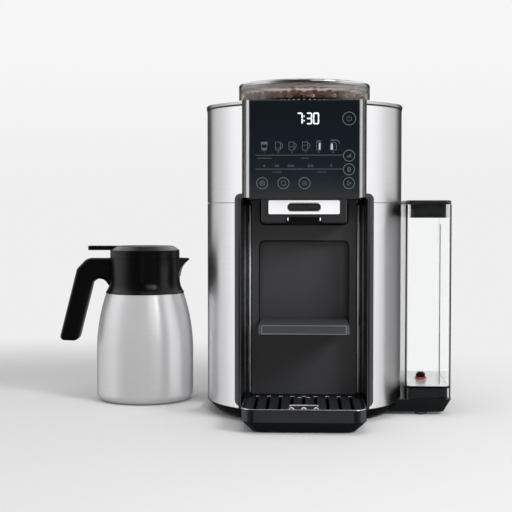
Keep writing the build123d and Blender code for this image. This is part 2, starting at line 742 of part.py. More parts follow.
def circuit_boards():
    """Display board behind the glass and power board on the base, with their larger components."""
    front = board_y()
    low = DISPLAY_BOTTOM + DISPLAY_BAR_H + 7
    display = block((-60, 60), (front, front + BOARD_T), (low, DECK_Z - 8))
    for z in (low + 20, low + 60):
        display += block((-12, 12), (front + BOARD_T, front + BOARD_T + 2.5), (z, z + 16))
    y = POWER_BOARD_Y
    power = block((-POWER_BOARD_HALF, POWER_BOARD_HALF), (y, y + BOARD_T), (FLOOR_Z, POWER_BOARD_TOP))
    power += bar_y(9.0, y - 24, y, -30, 60)
    power += block((0, 28), (y - 16, y), (45, 65))
    power += block((0, 28), (y - 16, y), (72, 92))
    for index in range(4):
        power += block((-48, -12), (y - 18, y), (84 + 8 * index, 87 + 8 * index))
    return Compound([display, power])


def spout_housing():
    """Hollow head over the bay that carries the polished plate and the nozzle."""
    corners = [(-SPOUT_HALF, SPOUT_BOTTOM), (SPOUT_HALF, SPOUT_BOTTOM), (SPOUT_HALF, CEILING_Z),
               (-SPOUT_HALF, CEILING_Z)]
    face = outline(corners, [SPOUT_EDGE_R, SPOUT_EDGE_R, 0, 0])
    head = front_prism(face, SPOUT_FRONT_Y, SPOUT_BACK_Y)
    edges = head.faces().sort_by(Axis.Y)[0].edges()
    head = chamfer([edge for edge in edges if edge.center().Z < CEILING_Z - 1], 1.5)
    inner = SPOUT_HALF - SPOUT_WALL
    head -= block((-inner, inner), (SPOUT_FRONT_Y + SPOUT_WALL, SPOUT_BACK_Y + OVER),
                  (SPOUT_BOTTOM + SPOUT_WALL, CEILING_Z - SPOUT_WALL))
    return head - nozzle_space(FIT)


def nozzle_space(gap):
    """Space of the nozzle block in the head, widened by a gap."""
    front = SPOUT_FRONT_Y - NOZZLE_PROUD - gap
    return block((-NOZZLE_HALF - gap, NOZZLE_HALF + gap), (front, front + NOZZLE_DEPTH + 2 * gap),
                 (SPOUT_BOTTOM - 2.5, SPOUT_BOTTOM - 2.5 + NOZZLE_H + gap))


def spout_nozzle():
    """Nozzle block with two outlets."""
    front = SPOUT_FRONT_Y - NOZZLE_PROUD
    nozzle = nozzle_space(0)
    nozzle = chamfer(nozzle.faces().sort_by(Axis.Z)[0].edges(), 1.0)
    for side in (-1, 1):
        x = side * OUTLET_SPACING / 2
        nozzle -= post(OUTLET_R, 0, SPOUT_BOTTOM + 3, x, front + NOZZLE_DEPTH / 2)
    return nozzle


def spout_plate():
    """Polished plate on the front of the head."""
    face = rounded_plan((-PLATE_HALF, PLATE_HALF), (PLATE_LOW, PLATE_LOW + PLATE_H), 1.5)
    plate = front_prism(face, SPOUT_FRONT_Y - PLATE_T, SPOUT_FRONT_Y)
    return chamfer(plate.faces().sort_by(Axis.Y)[0].edges(), 0.6)


def drip_tray():
    """Tray with a deep front part, a ledge for the grid and a platform for panel and bin."""
    tray = upright(tray_plan(0), TRAY_KNEE_Z, TRAY_RIM_Z)
    rim = tray.faces().sort_by(Axis.Z)[-1].edges()
    tray = fillet([edge for edge in rim if edge.center().Y < TRAY_WAIST_Y], TRAY_RIM_R)
    tray += upright(tray_plan(0), TRAY_BOTTOM, TRAY_KNEE_Z) & block((-200, 200), (TRAY_STEP_Y, 0), (0, 50))
    foot = Pos(0, 0, TRAY_FOOT_Z) * tray_front_plan(TRAY_FOOT_INSET)
    tray += loft([foot, Pos(0, 0, TRAY_KNEE_Z) * tray_front_plan(0)], ruled=True)
    tray += block((-PLATFORM_HALF, PLATFORM_HALF), (TRAY_REAR_Y - TRAY_WALL, PLATFORM_BACK),
                  (TRAY_BOTTOM, PLATFORM_Z))
    tray -= upright(tray_plan(TRAY_WALL), GRID_Z, TRAY_RIM_Z + OVER)
    basin = tray_plan(TRAY_WALL + LEDGE_W)
    lean = TRAY_FOOT_INSET / (TRAY_KNEE_Z - TRAY_FOOT_Z)
    keel = lean * (TRAY_KNEE_Z - BASIN_Z) + TRAY_WALL
    tray -= upright(basin, TRAY_KNEE_Z, GRID_Z + OVER)
    tray -= upright(basin, BASIN_Z, TRAY_KNEE_Z) & block((-200, 200), (TRAY_STEP_Y, 0), (0, 50))
    return tray - upright(tray_front_plan(keel), BASIN_Z, TRAY_KNEE_Z)


def slot(x, y0, y1):
    """One upright slot of the grid, with round ends."""
    face = rounded_plan((x - SLOT_W / 2, x + SLOT_W / 2), (y0, y1), SLOT_W / 2 - 0.1)
    return upright(face, GRID_Z - OVER, GRID_TOP + OVER)


def drip_grid():
    """Slotted grid: long slots at the sides, short ones in the middle, bar and holes in front."""
    grid = upright(tray_plan(TRAY_WALL + GRID_GAP), GRID_Z, GRID_TOP)
    for index in range(2, 2 + SLOT_SIDE_COUNT):
        for side in (-1, 1):
            grid -= slot(side * index * SLOT_PITCH, SLOT_FRONT_Y, SLOT_REAR_Y)
    for index in (-1, 0, 1):
        grid -= slot(index * SLOT_PITCH, SHORT_SLOT_FRONT_Y, SLOT_REAR_Y)
        grid -= post(HOLE_R, GRID_Z - OVER, GRID_TOP + OVER, index * SLOT_PITCH, HOLE_Y)
    for y, width in ((CROSS_Y, CROSS_W), (BAR_Y, BAR_W)):
        face = rounded_plan((-width / 2, width / 2), (y - SLOT_W / 2, y + SLOT_W / 2), SLOT_W / 2 - 0.1)
        grid -= upright(face, GRID_Z - OVER, GRID_TOP + OVER)
    return grid


def tray_float():
    """Float that rises through the middle hole of the grid when the tray is full."""
    z = BASIN_Z + 0.1
    profile = [(0, z), (FLOAT_R, z), (FLOAT_R, z + FLOAT_H), (FLOAT_STEM_R, z + FLOAT_H),
               (FLOAT_STEM_R, GRID_TOP - 1.5), (FLOAT_STEM_R - 1, GRID_TOP - 0.5), (0, GRID_TOP - 0.5)]
    return turned(profile, 0, HOLE_Y)


def bay_panel():
    """Panel behind the bay with the notch for the spout head and the pocket for the shelf."""
    half = BAY_HALF - PANEL_SIDE_GAP
    panel = block((-half, half), (PANEL_Y, PANEL_Y + PANEL_T), (PLATFORM_Z, CEILING_Z - 1))
    outer = POCKET_HALF + POCKET_WALL
    panel += block((-outer, outer), (PANEL_Y, POCKET_BACK_Y + POCKET_WALL),
                   (POCKET_LOW - POCKET_WALL, POCKET_HIGH + POCKET_WALL))
    radii = [POCKET_LOW_R, POCKET_LOW_R, POCKET_HIGH_R, POCKET_HIGH_R]
    pocket = rounded_plan((-POCKET_HALF, POCKET_HALF), (POCKET_LOW, POCKET_HIGH), radii)
    panel -= front_prism(pocket, PANEL_Y - OVER, POCKET_BACK_Y)
    notch_half = SPOUT_HALF + NOTCH_SIDE_GAP
    notch_low = SPOUT_BOTTOM - NOTCH_BOTTOM_GAP
    corners = [(-notch_half, notch_low), (notch_half, notch_low), (notch_half, CEILING_Z + 9),
               (-notch_half, CEILING_Z + 9)]
    notch = outline(corners, [NOTCH_CORNER_R, NOTCH_CORNER_R, 0, 0])
    panel -= front_prism(notch, PANEL_Y - OVER, PANEL_Y + PANEL_T + OVER)
    rod_end = POCKET_HALF + POCKET_WALL
    return panel - bar_x(SHELF_ROD_R + SNUG, -rod_end - OVER, rod_end + OVER, SHELF_HINGE_Y, SHELF_HINGE_Z)


def shelf_solid(z0, z1):
    """Slice of the whole shelf between two heights, with its round hinge end."""
    face = rounded_plan((-SHELF_HALF, SHELF_HALF), (SHELF_FRONT_Y, SHELF_HINGE_Y), 0.0)
    body = upright(face, SHELF_TOP - SHELF_T, SHELF_TOP)
    upright_edges = body.edges().filter_by(Axis.Z).group_by(Axis.Y)[0]
    body = fillet(upright_edges, SHELF_CORNER_R)
    body += bar_x(SHELF_T / 2, -SHELF_HALF, SHELF_HALF, SHELF_HINGE_Y, SHELF_HINGE_Z)
    return body & block((-200, 200), (-300, 0), (z0, z1))


def shelf_drains():
    """Two drain slots through the shelf."""
    long, wide = SHELF_DRAIN
    y = PANEL_Y - 16
    faces = [rounded_plan((x - long / 2, x + long / 2), (y - wide / 2, y + wide / 2), wide / 2 - 0.1)
             for x in (-SHELF_DRAIN_X, SHELF_DRAIN_X)]
    return upright(faces[0], 0, 200) + upright(faces[1], 0, 200)


def cup_shelf():
    """Lower body of the fold-down shelf, bored for the hinge rod."""
    body = shelf_solid(SHELF_TOP - SHELF_T, SHELF_SPLIT_Z) - shelf_drains()
    end = SHELF_HALF + OVER
    return body - bar_x(SHELF_ROD_R + RUN, -end, end, SHELF_HINGE_Y, SHELF_HINGE_Z)


def shelf_plate():
    """Top plate of the shelf, set in a little so that a line shows round the edge."""
    plate = shelf_solid(SHELF_SPLIT_Z, SHELF_TOP) - shelf_drains()
    half = SHELF_HALF - SHELF_PLATE_INSET
    return plate & block((-half, half), (SHELF_FRONT_Y + SHELF_PLATE_INSET, SHELF_HINGE_Y), (0, 200))


def shelf_rod():
    """Steel hinge rod of the shelf."""
    end = POCKET_HALF + POCKET_WALL
    return bar_x(SHELF_ROD_R, -end, end, SHELF_HINGE_Y, SHELF_HINGE_Z)


def grounds_bin():
    """Open bin behind the bay panel."""
    front = POCKET_BACK_Y + POCKET_WALL + BIN_FRONT_GAP
    back = PLATFORM_BACK - 3
    plan = rounded_plan((-BIN_HALF, BIN_HALF), (front, back), 8.0)
    half = BIN_HALF - BIN_WALL
    inner = rounded_plan((-half, half), (front + BIN_WALL, back - BIN_WALL), 8.0 - BIN_WALL)
    top = PLATFORM_Z + BIN_H
    return upright(plan, PLATFORM_Z, top) - upright(inner, PLATFORM_Z + BIN_WALL, top + OVER)


def hopper():
    """Bean hopper: round wall on the deck, funnel through it, throat on the grinder."""
    inner = HOPPER_R - HOPPER_WALL
    floor = DECK_Z + HOPPER_WALL
    throat = GRINDER_R - 0.5
    points = [(THROAT_R, THROAT_Z), (throat, THROAT_Z), (throat, THROAT_Z + THROAT_H),
              (HOPPER_NECK_R, DECK_Z - DECK_T), (HOPPER_NECK_R, DECK_Z), (HOPPER_R, DECK_Z),
              (HOPPER_R, HOPPER_RIM_Z), (inner, HOPPER_RIM_Z), (inner, floor),
              (HOPPER_NECK_R - HOPPER_WALL, floor), (THROAT_R, THROAT_Z + THROAT_H)]
    return turned(points, 0, HOPPER_Y)


def hopper_lid():
    """Flat lid with a rounded rim and a plug that carries the sealing ring."""
    plug = HOPPER_R - HOPPER_WALL - SEAL_T - FIT
    low = HOPPER_RIM_Z - HOPPER_LID_PLUG
    points = [(0, HOPPER_RIM_Z), (plug - 2, HOPPER_RIM_Z), (plug - 2, low), (plug, low),
              (plug, HOPPER_RIM_Z), (HOPPER_R, HOPPER_RIM_Z), (HOPPER_R, HOPPER_LID_Z), (0, HOPPER_LID_Z)]
    lid = turned(points, 0, HOPPER_Y)
    top = lid.faces().sort_by(Axis.Z)[-1]
    return fillet(top.edges(), HOPPER_LID_EDGE_R)


def lid_seal():
    """Sealing ring round the lid's plug."""
    plug = HOPPER_R - HOPPER_WALL - SEAL_T - FIT
    low = HOPPER_RIM_Z - HOPPER_LID_PLUG + 1.5
    inner = plug + SNUG
    outer = plug + SEAL_T
    points = [(inner, low), (outer, low), (outer, low + SEAL_H), (inner, low + SEAL_H)]
    return turned(points, 0, HOPPER_Y)


def grinder_housing():
    """Round grinder housing with a seat for the ring burr and a side outlet."""
    seat = BURR_R - BURR_SEAT_W
    floor = CASE_TOP + GRINDER_FLOOR
    points = [(SHAFT_R + RUN, CASE_TOP), (GRINDER_R, CASE_TOP), (GRINDER_R, THROAT_Z), (BURR_R, THROAT_Z),
              (BURR_R, RING_BURR_Z), (seat, RING_BURR_Z), (seat, floor), (SHAFT_R + RUN, floor)]
    return turned(points, 0, HOPPER_Y) - outlet_space()


def outlet_space():
    """Passage for ground coffee from the burrs to the chute."""
    return block((BREW_X, 0), (HOPPER_Y - 8, HOPPER_Y + 8), (CASE_TOP + GRINDER_FLOOR, RING_BURR_Z - 1)) \
        - post(BURR_R - 6, 0, 500, 0, HOPPER_Y)


def ring_burr():
    """Fixed outer burr."""
    top = RING_BURR_Z + RING_BURR_H
    outer = BURR_R - RUN
    points = [(RING_BURR_LOW_R, RING_BURR_Z), (outer, RING_BURR_Z), (outer, top), (RING_BURR_HIGH_R, top)]
    return turned(points, 0, HOPPER_Y)


def cone_burr():
    """Turning inner burr with flutes."""
    low = RING_BURR_Z - CONE_BURR_DROP
    bore = SHAFT_R + SNUG
    top = low + CONE_BURR_H
    points = [(bore, low), (CONE_BURR_LOW_R, low), (CONE_BURR_HIGH_R, top), (bore, top)]
    burr = turned(points)
    for index in range(FLUTES):
        groove = block((-1.0, 6.0), (-FLUTE_W / 2, FLUTE_W / 2), (-CONE_BURR_H - 8, 8))
        groove = Pos(CONE_BURR_HIGH_R, 0, low + CONE_BURR_H) * Rot(0, -FLUTE_LEAN, 0) * groove
        burr -= Rot(0, 0, 360 * index / FLUTES) * groove
    return Pos(0, HOPPER_Y, 0) * burr


def burr_shaft():
    """Shaft from the mid deck up through gear and burr."""
    top = RING_BURR_Z - CONE_BURR_DROP + CONE_BURR_H
    return post(SHAFT_R, SEAM_Z + 1, top, 0, HOPPER_Y)


def gear_points(teeth, phase):
    """Outline of a spur gear with involute flanks."""
    pitch = GEAR_MODULE * teeth / 2
    base = pitch * math.cos(PRESSURE_ANGLE)
    tip = pitch + ADDENDUM * GEAR_MODULE
    root = pitch - DEDENDUM * GEAR_MODULE
    half = math.pi / (2 * teeth) - BACKLASH / (2 * pitch) + involute(PRESSURE_ANGLE)
    start = max(base, root)
    radii = [root] if root < base else []
    radii += [start + (tip - start) * step / FLANK_STEPS for step in range(FLANK_STEPS + 1)]
    spreads = [half - involute(math.acos(min(1.0, base / radius))) for radius in radii]
    flank = list(zip(radii, spreads))
    points = []
    for tooth in range(teeth):
        middle = phase + 2 * math.pi * tooth / teeth
        sides = [(radius, middle - spread) for radius, spread in flank]
        sides += [(radius, middle + spread) for radius, spread in reversed(flank)]
        points += [(radius * math.cos(angle), radius * math.sin(angle)) for radius, angle in sides]
    return points


def involute(angle):
    """Involute function of a pressure angle."""
    return math.tan(angle) - angle


def drive_gear():
    """Large gear on the burr shaft, with its hub."""
    gear = upright(outline(gear_points(GEAR_TEETH, math.pi / 2)), GEAR_Z, GEAR_Z + GEAR_W)
    gear += post(GEAR_HUB_R, MID_TOP + FIT, GEAR_Z + GEAR_W)
    gear -= post(SHAFT_R + SNUG, 0, 500)
    return Pos(0, HOPPER_Y, 0) * gear


def motor_pinion():
    """Pinion with the motor shaft it sits on."""
    phase = -math.pi / 2 + math.pi / PINION_TEETH
    pinion = upright(outline(gear_points(PINION_TEETH, phase)), GEAR_Z, GEAR_Z + GEAR_W)
    pinion += post(MOTOR_SHAFT_R, SEAM_Z - MOTOR_SHAFT_DEPTH + FIT, GEAR_Z + GEAR_W)
    return Pos(0, PINION_Y, 0) * pinion


def gear_case():
    """Case over the gears, the seat of the grinder housing."""
    gear_tip = GEAR_MODULE * (GEAR_TEETH / 2 + 1) + CASE_GAP
    pinion_tip = GEAR_MODULE * (PINION_TEETH / 2 + 1) + CASE_GAP
    inner = make_hull([*(Pos(0, HOPPER_Y) * Circle(gear_tip)).edges(),
                       *(Pos(0, PINION_Y) * Circle(pinion_tip)).edges()])
    outer = make_hull([*(Pos(0, HOPPER_Y) * Circle(gear_tip + CASE_WALL)).edges(),
                       *(Pos(0, PINION_Y) * Circle(pinion_tip + CASE_WALL)).edges()])
    case = upright(outer, MID_TOP, CASE_TOP) - upright(inner, MID_TOP - OVER, CASE_TOP - CASE_WALL)
    return case - post(SHAFT_R + RUN, 0, 500, 0, HOPPER_Y)


def grinder_motor():
    """Motor under the mid deck."""
    motor = post(MOTOR_R, SEAM_Z - MOTOR_L, SEAM_Z, 0, PINION_Y)
    low = SEAM_Z - MOTOR_L - MOTOR_CAP_L
    motor += post(MOTOR_CAP_R, low, SEAM_Z - MOTOR_L, 0, PINION_Y)
    return motor - post(MOTOR_SHAFT_R + RUN, SEAM_Z - MOTOR_SHAFT_DEPTH, 500, 0, PINION_Y)


def grounds_chute():
    """Duct from the grinder's outlet down to the brew chamber."""
    half = CHUTE_W / 2
    wall = CHUTE_WALL
    floor = CASE_TOP + FIT
    x = (BREW_X - half + 1, BREW_X + half - 0.7)
    y = (HOPPER_Y - half, HOPPER_Y + half)
    duct = block(x, y, (MID_TOP, CHUTE_TOP))
    duct += block((BREW_X, -GRINDER_R / 2), (y[0] + wall, y[1] - wall), (floor, CHUTE_TOP))
    duct -= block((x[0] + wall, x[1] - wall), (y[0] + wall, y[1] - wall), (MID_TOP - OVER, CHUTE_TOP - wall))
    duct -= block((BREW_X, 0), (y[0] + 2 * wall, y[1] - 2 * wall), (floor + wall, CHUTE_TOP - wall))
    return duct - post(GRINDER_R + 0.2, 0, 500, 0, HOPPER_Y)


def brew_chamber():
    """Upright chamber under the deck: bore, floor, motor space below and a window for used grounds."""
    y = HOPPER_Y
    chamber = post(BREW_R, BREW_BOTTOM, SEAM_Z, BREW_X, y)
    chamber -= post(BREW_BORE_R, BREW_FLOOR_Z + BREW_FLOOR_T, SEAM_Z + OVER, BREW_X, y)
    chamber -= post(BREW_BORE_R, BREW_BOTTOM - OVER, BREW_FLOOR_Z, BREW_X, y)
    chamber -= post(SPINDLE_R + FIT, BREW_BOTTOM, SEAM_Z, BREW_X, y)
    half = WINDOW_W / 2
    return chamber - block((BREW_X - half, BREW_X + half), (y, y + BREW_R + OVER),
                           (WINDOW_LOW, WINDOW_TOP))


def brew_piston():
    """Piston with a hollow stem that takes the spindle."""
    stem_z = PISTON_Z - PISTON_STEM_L
    bore = SPINDLE_R + RUN
    rim = BREW_BORE_R - 2 * RUN
    top = PISTON_Z + PISTON_T
    points = [(bore, stem_z), (PISTON_STEM_R, stem_z), (PISTON_STEM_R, PISTON_Z), (rim, PISTON_Z),
              (rim, top), (0, top), (0, PISTON_Z + 2), (bore, PISTON_Z + 2)]
    return turned(points, BREW_X, HOPPER_Y)


def brew_spindle():
    """Lead screw that drives the piston."""
    return post(SPINDLE_R, BREW_FLOOR_Z + FIT, PISTON_Z, BREW_X, HOPPER_Y)


def brew_motor():
    """Gear motor in the foot of the brew chamber."""
    motor = post(BREW_BORE_R - FIT, BREW_BOTTOM, BREW_FLOOR_Z - FIT, BREW_X, HOPPER_Y)
    return motor + post(6.0, BREW_BOTTOM - 2, BREW_BOTTOM, BREW_X, HOPPER_Y)


def water_pump():
    """Pump lying along the right side, on its cradle."""
    back = PUMP_FRONT_Y + PUMP_L
    pump = bar_y(PUMP_R, PUMP_FRONT_Y, back, PUMP_X, PUMP_Z)
    pump += bar_y(NIPPLE_R, PUMP_FRONT_Y - NIPPLE_L, back + NIPPLE_L, PUMP_X, PUMP_Z)
    middle = (PUMP_FRONT_Y + back) / 2
    pump += block((PUMP_X - PUMP_R, PUMP_X + PUMP_R), (middle - 12, middle + 12),
                  (PUMP_Z - 12, PUMP_Z + PUMP_R + 1))
    for y in (middle - 18, middle + 18):
        pump += block((PUMP_X - 10, PUMP_X + 10), (y - 3, y + 3), (FLOOR_Z, PUMP_Z))
    return pump


def flow_meter():
    """Flow meter between the tank's port and the pump."""
    return post(FLOW_R, FLOOR_Z, FLOOR_Z + FLOW_H, PUMP_X, PORT_Y)


def heater():
    """Ribbed heater block with its two connections."""
    half = HEATER_W / 2
    back = HEATER_FRONT_Y + HEATER_L
    body = block((HEATER_X - half, HEATER_X + half), (HEATER_FRONT_Y, back), (FLOOR_Z, HEATER_TOP))
    pitch = (HEATER_TOP - FLOOR_Z) / (HEATER_RIBS + 1)
    for index in range(HEATER_RIBS):
        z = FLOOR_Z + pitch * (index + 1)
        body -= block((HEATER_X + half - HEATER_GROOVE, HEATER_X + half + OVER), (-200, 200), (z - 4, z + 4))
        body -= block((HEATER_X - half - OVER, HEATER_X - half + HEATER_GROOVE), (-200, 200), (z - 4, z + 4))
    body += post(NIPPLE_R, HEATER_TOP, HEATER_TOP + NIPPLE_L, HEATER_X, back - 30)
    return body + bar_y(NIPPLE_R, back, back + NIPPLE_L, HEATER_X, PUMP_Z)


def hoses():
    """Hoses: tank port to flow meter, pump to heater, heater to chamber, chamber to spout."""
    pump_y = PUMP_FRONT_Y + PUMP_L + NIPPLE_L
    heater_y = HEATER_FRONT_Y + HEATER_L + NIPPLE_L
    rear_y = POWER_BOARD_Y + 18
    riser_y = HEATER_FRONT_Y + HEATER_L - 30
    feed = hose([(DRUM_R, PORT_Y, PORT_Z), (PUMP_X + FLOW_R + FIT, PORT_Y, PORT_Z)])
    pressure = hose([(PUMP_X, pump_y, PUMP_Z), (PUMP_X, rear_y, PUMP_Z), (HEATER_X, rear_y, PUMP_Z),
                     (HEATER_X, heater_y, PUMP_Z)])
    hot = hose([(HEATER_X, riser_y, HEATER_TOP + NIPPLE_L), (HEATER_X, riser_y, 250), (BREW_X, riser_y, 250),
                (BREW_X, HOPPER_Y + BREW_R + FIT, 250)])
    nozzle_y = SPOUT_FRONT_Y - NOZZLE_PROUD + NOZZLE_DEPTH
    coffee_z = SPOUT_BOTTOM + SPOUT_WALL + HOSE_R + 1
    coffee = hose([(BREW_X, HOPPER_Y - BREW_R - FIT, coffee_z), (BREW_X, -76, coffee_z), (0, -76, coffee_z),
                   (0, nozzle_y, coffee_z)], 8.0)
    return Compound([feed, pressure, hot, coffee])


def power_inlet():
    """Mains inlet for a loose appliance lead: flange, socket and three pins."""
    half_x, half_z = INLET_HALF
    flange_x, flange_z = INLET_FLANGE
    socket_x, socket_z = INLET_SOCKET
    face = BODY_BACK + INLET_FLANGE_T
    inlet = block((INLET_X - half_x, INLET_X + half_x), (BODY_BACK - INLET_DEPTH, BODY_BACK),
                  (INLET_Z - half_z, INLET_Z + half_z))
    inlet += block((INLET_X - flange_x, INLET_X + flange_x), (BODY_BACK, face),
                   (INLET_Z - flange_z, INLET_Z + flange_z))
    inlet -= block((INLET_X - socket_x, INLET_X + socket_x), (face - 17, face + OVER),
                   (INLET_Z - socket_z, INLET_Z + socket_z))
    high, thick, long = INLET_PIN
    for x, z in ((-7, -1.5), (0, 2.5), (7, -1.5)):
        inlet += block((INLET_X + x - thick / 2, INLET_X + x + thick / 2), (face - 18, face - 18 + long),
                       (INLET_Z + z - high / 2, INLET_Z + z + high / 2))
    return inlet


def switch_rocker():
    """Rocker of the mains switch, tilted to its rest side, with its pivot pins."""
    half_x, half_z = SWITCH_HALF
    points = [(5.5, -half_z + 0.8), (4.0, 0), (5.5, half_z - 0.8), (-4.0, 5.0), (-4.0, -5.0)]
    rocker = side_prism(outline(points), -half_x, half_x)
    rocker += bar_x(SWITCH_PIVOT_R, -half_x - SWITCH_BOX_WALL, half_x + SWITCH_BOX_WALL, 0, 0)
    return Pos(SWITCH_X, SWITCH_PIVOT_Y, INLET_Z) * Rot(SWITCH_TILT, 0, 0) * rocker


def tank_plan(inset, corner=None):
    """Plan of the tank, set in by a distance."""
    radius = TANK_CORNER_R - inset if corner is None else corner
    x = (TANK_LEFT + inset, TANK_RIGHT - inset)
    return rounded_plan(x, (TANK_FRONT + inset, TANK_BACK - inset), radius)


def dock_plan(inset):
    """Plan of the dock, whose inner end lies under the drum."""
    right = TANK_RIGHT + 0.5 - inset
    front = TANK_FRONT - DOCK_MARGIN + inset
    back = TANK_BACK + DOCK_MARGIN - inset
    corners = [(DRUM_R / 2, front), (right, front), (right, back), (DRUM_R / 2, back)]
    return outline(corners, [0, TANK_CORNER_R, TANK_CORNER_R, 0])


def tank_dock():
    """Dock beside the drum: leaning sides, raised step inside the tank's skirt, water spigot."""
    dock = loft([Pos(0, 0, FOOT_H) * dock_plan(DOCK_LEAN), Pos(0, 0, DOCK_TOP) * dock_plan(0)], ruled=True)
    dock -= plinth(FIT) + body_slab(-FIT, PLINTH_TOP - FIT, DOCK_TOP + OVER)
    step_inset = TANK_WALL + DOCK_STEP_GAP
    step_top = DOCK_TOP + DOCK_STEP_H
    dock += upright(tank_plan(step_inset), DOCK_TOP, step_top)
    dock += post(SPIGOT_R, step_top, step_top + SPIGOT_H, PORT_X, PORT_Y)
    dock -= post(SPIGOT_BORE_R, PORT_Z, 100, PORT_X, PORT_Y)
    dock -= bar_x(SPIGOT_BORE_R, 100, PORT_X + SPIGOT_BORE_R, PORT_Y, PORT_Z)
    return dock - bar_x(HOSE_R + FIT, 100, DRUM_R + FIT, PORT_Y, PORT_Z)


def lug(x0, x1):
    """Hinge lug on the tank's back wall."""
    rear = TANK_PIN_Y + TANK_KNUCKLE_R
    front = TANK_BACK + 0.8
    root = TANK_BACK - 0.5
    top = TANK_PIN_Z + TANK_KNUCKLE_R
    points = [(root, TANK_PIN_Z - 14), (rear, TANK_PIN_Z - 4), (rear, top), (TANK_PIN_Y, top),
              (front, TANK_PIN_Z + TANK_PIN_R), (front, TANK_RIM_Z), (root, TANK_RIM_Z)]
    return side_prism(outline(points), x0, x1)


def water_tank():
    """Clear tank with a skirt over the dock's step, a port in its floor and lugs for the lid."""
    tank = upright(tank_plan(0), TANK_SEAT_Z, TANK_RIM_Z)
    tank -= upright(tank_plan(TANK_WALL), TANK_INSIDE_Z, TANK_RIM_Z + OVER)
    tank -= upright(tank_plan(TANK_WALL), TANK_SEAT_Z - OVER, TANK_FLOOR_Z)
    tank -= post(PORT_R, 0, 100, PORT_X, PORT_Y)
    low, high = TANK_LUG_X
    tank += lug(low, low + TANK_LUG_W) + lug(high - TANK_LUG_W, high)
    return tank - bar_x(TANK_PIN_R + SNUG, low - OVER, high + OVER, TANK_PIN_Y, TANK_PIN_Z)


def tank_lid():
    """Lid with a hollow skirt inside the tank and a knuckle between the lugs."""
    top = TANK_LID_Z + TANK_LID_T
    lid = upright(tank_plan(TANK_LID_INSET), TANK_LID_Z, top)
    lid = fillet(lid.faces().sort_by(Axis.Z)[-1].edges(), TANK_LID_EDGE_R)
    skirt_low = TANK_LID_Z - TANK_SKIRT_H
    lid += upright(tank_plan(TANK_SKIRT_INSET, 6.0), skirt_low, TANK_LID_Z)
    lid -= upright(tank_plan(TANK_SKIRT_INSET + TANK_WALL, 4.0), skirt_low - OVER, TANK_LID_Z - TANK_WALL)
    low, high = TANK_LUG_X
    x = (low + TANK_LUG_W + FIT, high - TANK_LUG_W - FIT)
    lid += bar_x(TANK_KNUCKLE_R, *x, TANK_PIN_Y, TANK_PIN_Z)
    lid += block(x, (TANK_BACK - 6, TANK_PIN_Y), (TANK_LID_Z, TANK_PIN_Z + TANK_KNUCKLE_R - 0.5))
    return lid - bar_x(TANK_PIN_R + RUN, x[0] - OVER, x[1] + OVER, TANK_PIN_Y, TANK_PIN_Z)


def tank_pin():
    """Hinge pin of the tank's lid."""
    low, high = TANK_LUG_X
    return bar_x(TANK_PIN_R, low, high, TANK_PIN_Y, TANK_PIN_Z)


def tank_valve():
    """Outlet valve that the dock's spigot holds open."""
    low = DOCK_TOP + DOCK_STEP_H + SPIGOT_H + 0.1
    head = VALVE_SEAL_Z + VALVE_SEAL_T
    points = [(0, low), (VALVE_STEM_R, low), (VALVE_STEM_R, head), (VALVE_HEAD_R, head),
              (VALVE_HEAD_R, head + VALVE_HEAD_H - 3), (VALVE_HEAD_R - 3, head + VALVE_HEAD_H),
              (0, head + VALVE_HEAD_H)]
    return turned(points, PORT_X, PORT_Y)


def valve_seal():
    """Red ring under the valve's head."""
    inner = VALVE_STEM_R + SNUG
    top = VALVE_SEAL_Z + VALVE_SEAL_T
    points = [(inner, VALVE_SEAL_Z), (VALVE_SEAL_R, VALVE_SEAL_Z), (VALVE_SEAL_R, top), (inner, top)]
    return turned(points, PORT_X, PORT_Y)


def carafe_vessel(inset, neck_r, top):
    """Solid of revolution of the carafe's vessel, set in by a distance."""
    r = CARAFE_R - inset
    foot = CARAFE_FOOT_R - inset
    shoulder_r = CARAFE_SHOULDER_R - inset
    shoulder_z = CARAFE_SHOULDER_Z - inset
    cut = foot * (1 - math.sqrt(0.5))
    edges = [
        Line((0, inset), (r - foot, inset)),
        ThreePointArc((r - foot, inset), (r - cut, inset + cut), (r, inset + foot)),
        Line((r, inset + foot), (r, CARAFE_BELLY_Z)),
        TangentArc((r, CARAFE_BELLY_Z), (shoulder_r, shoulder_z), tangent=(0, 1)),
        Line((shoulder_r, shoulder_z), (neck_r, shoulder_z)),
        Line((neck_r, shoulder_z), (neck_r, top)),
        Line((neck_r, top), (0, top)),
        Line((0, top), (0, inset)),
    ]
    solid = revolve(Plane.XZ * make_face(edges), Axis.Z)
    return Pos(CARAFE_X, CARAFE_Y, 0) * solid


def carafe_shell():
    """Outer steel shell with its base plate."""
    inner = carafe_vessel(CARAFE_SHELL_T, CARAFE_NECK_R - CARAFE_SHELL_T, CARAFE_NECK_Z + OVER)
    plate_r = CARAFE_R - CARAFE_FOOT_R
    shell = carafe_vessel(0, CARAFE_NECK_R, CARAFE_NECK_Z) - inner
    shell -= post(plate_r, -OVER, CARAFE_SHELL_T + OVER, CARAFE_X, CARAFE_Y)
    return Compound([shell, post(plate_r - FIT, 0, CARAFE_SHELL_T, CARAFE_X, CARAFE_Y)])


def carafe_liner():
    """Inner vessel, hung by its rim on the shell's neck."""
    neck = CARAFE_NECK_R - CARAFE_SHELL_T - FIT
    top = CARAFE_NECK_Z + CARAFE_LINER_T
    liner = carafe_vessel(CARAFE_JACKET, neck, top)
    liner += post(CARAFE_NECK_R, CARAFE_NECK_Z, top, CARAFE_X, CARAFE_Y)
    inset = CARAFE_JACKET + CARAFE_LINER_T
    return liner - carafe_vessel(inset, neck - CARAFE_LINER_T, top + OVER)


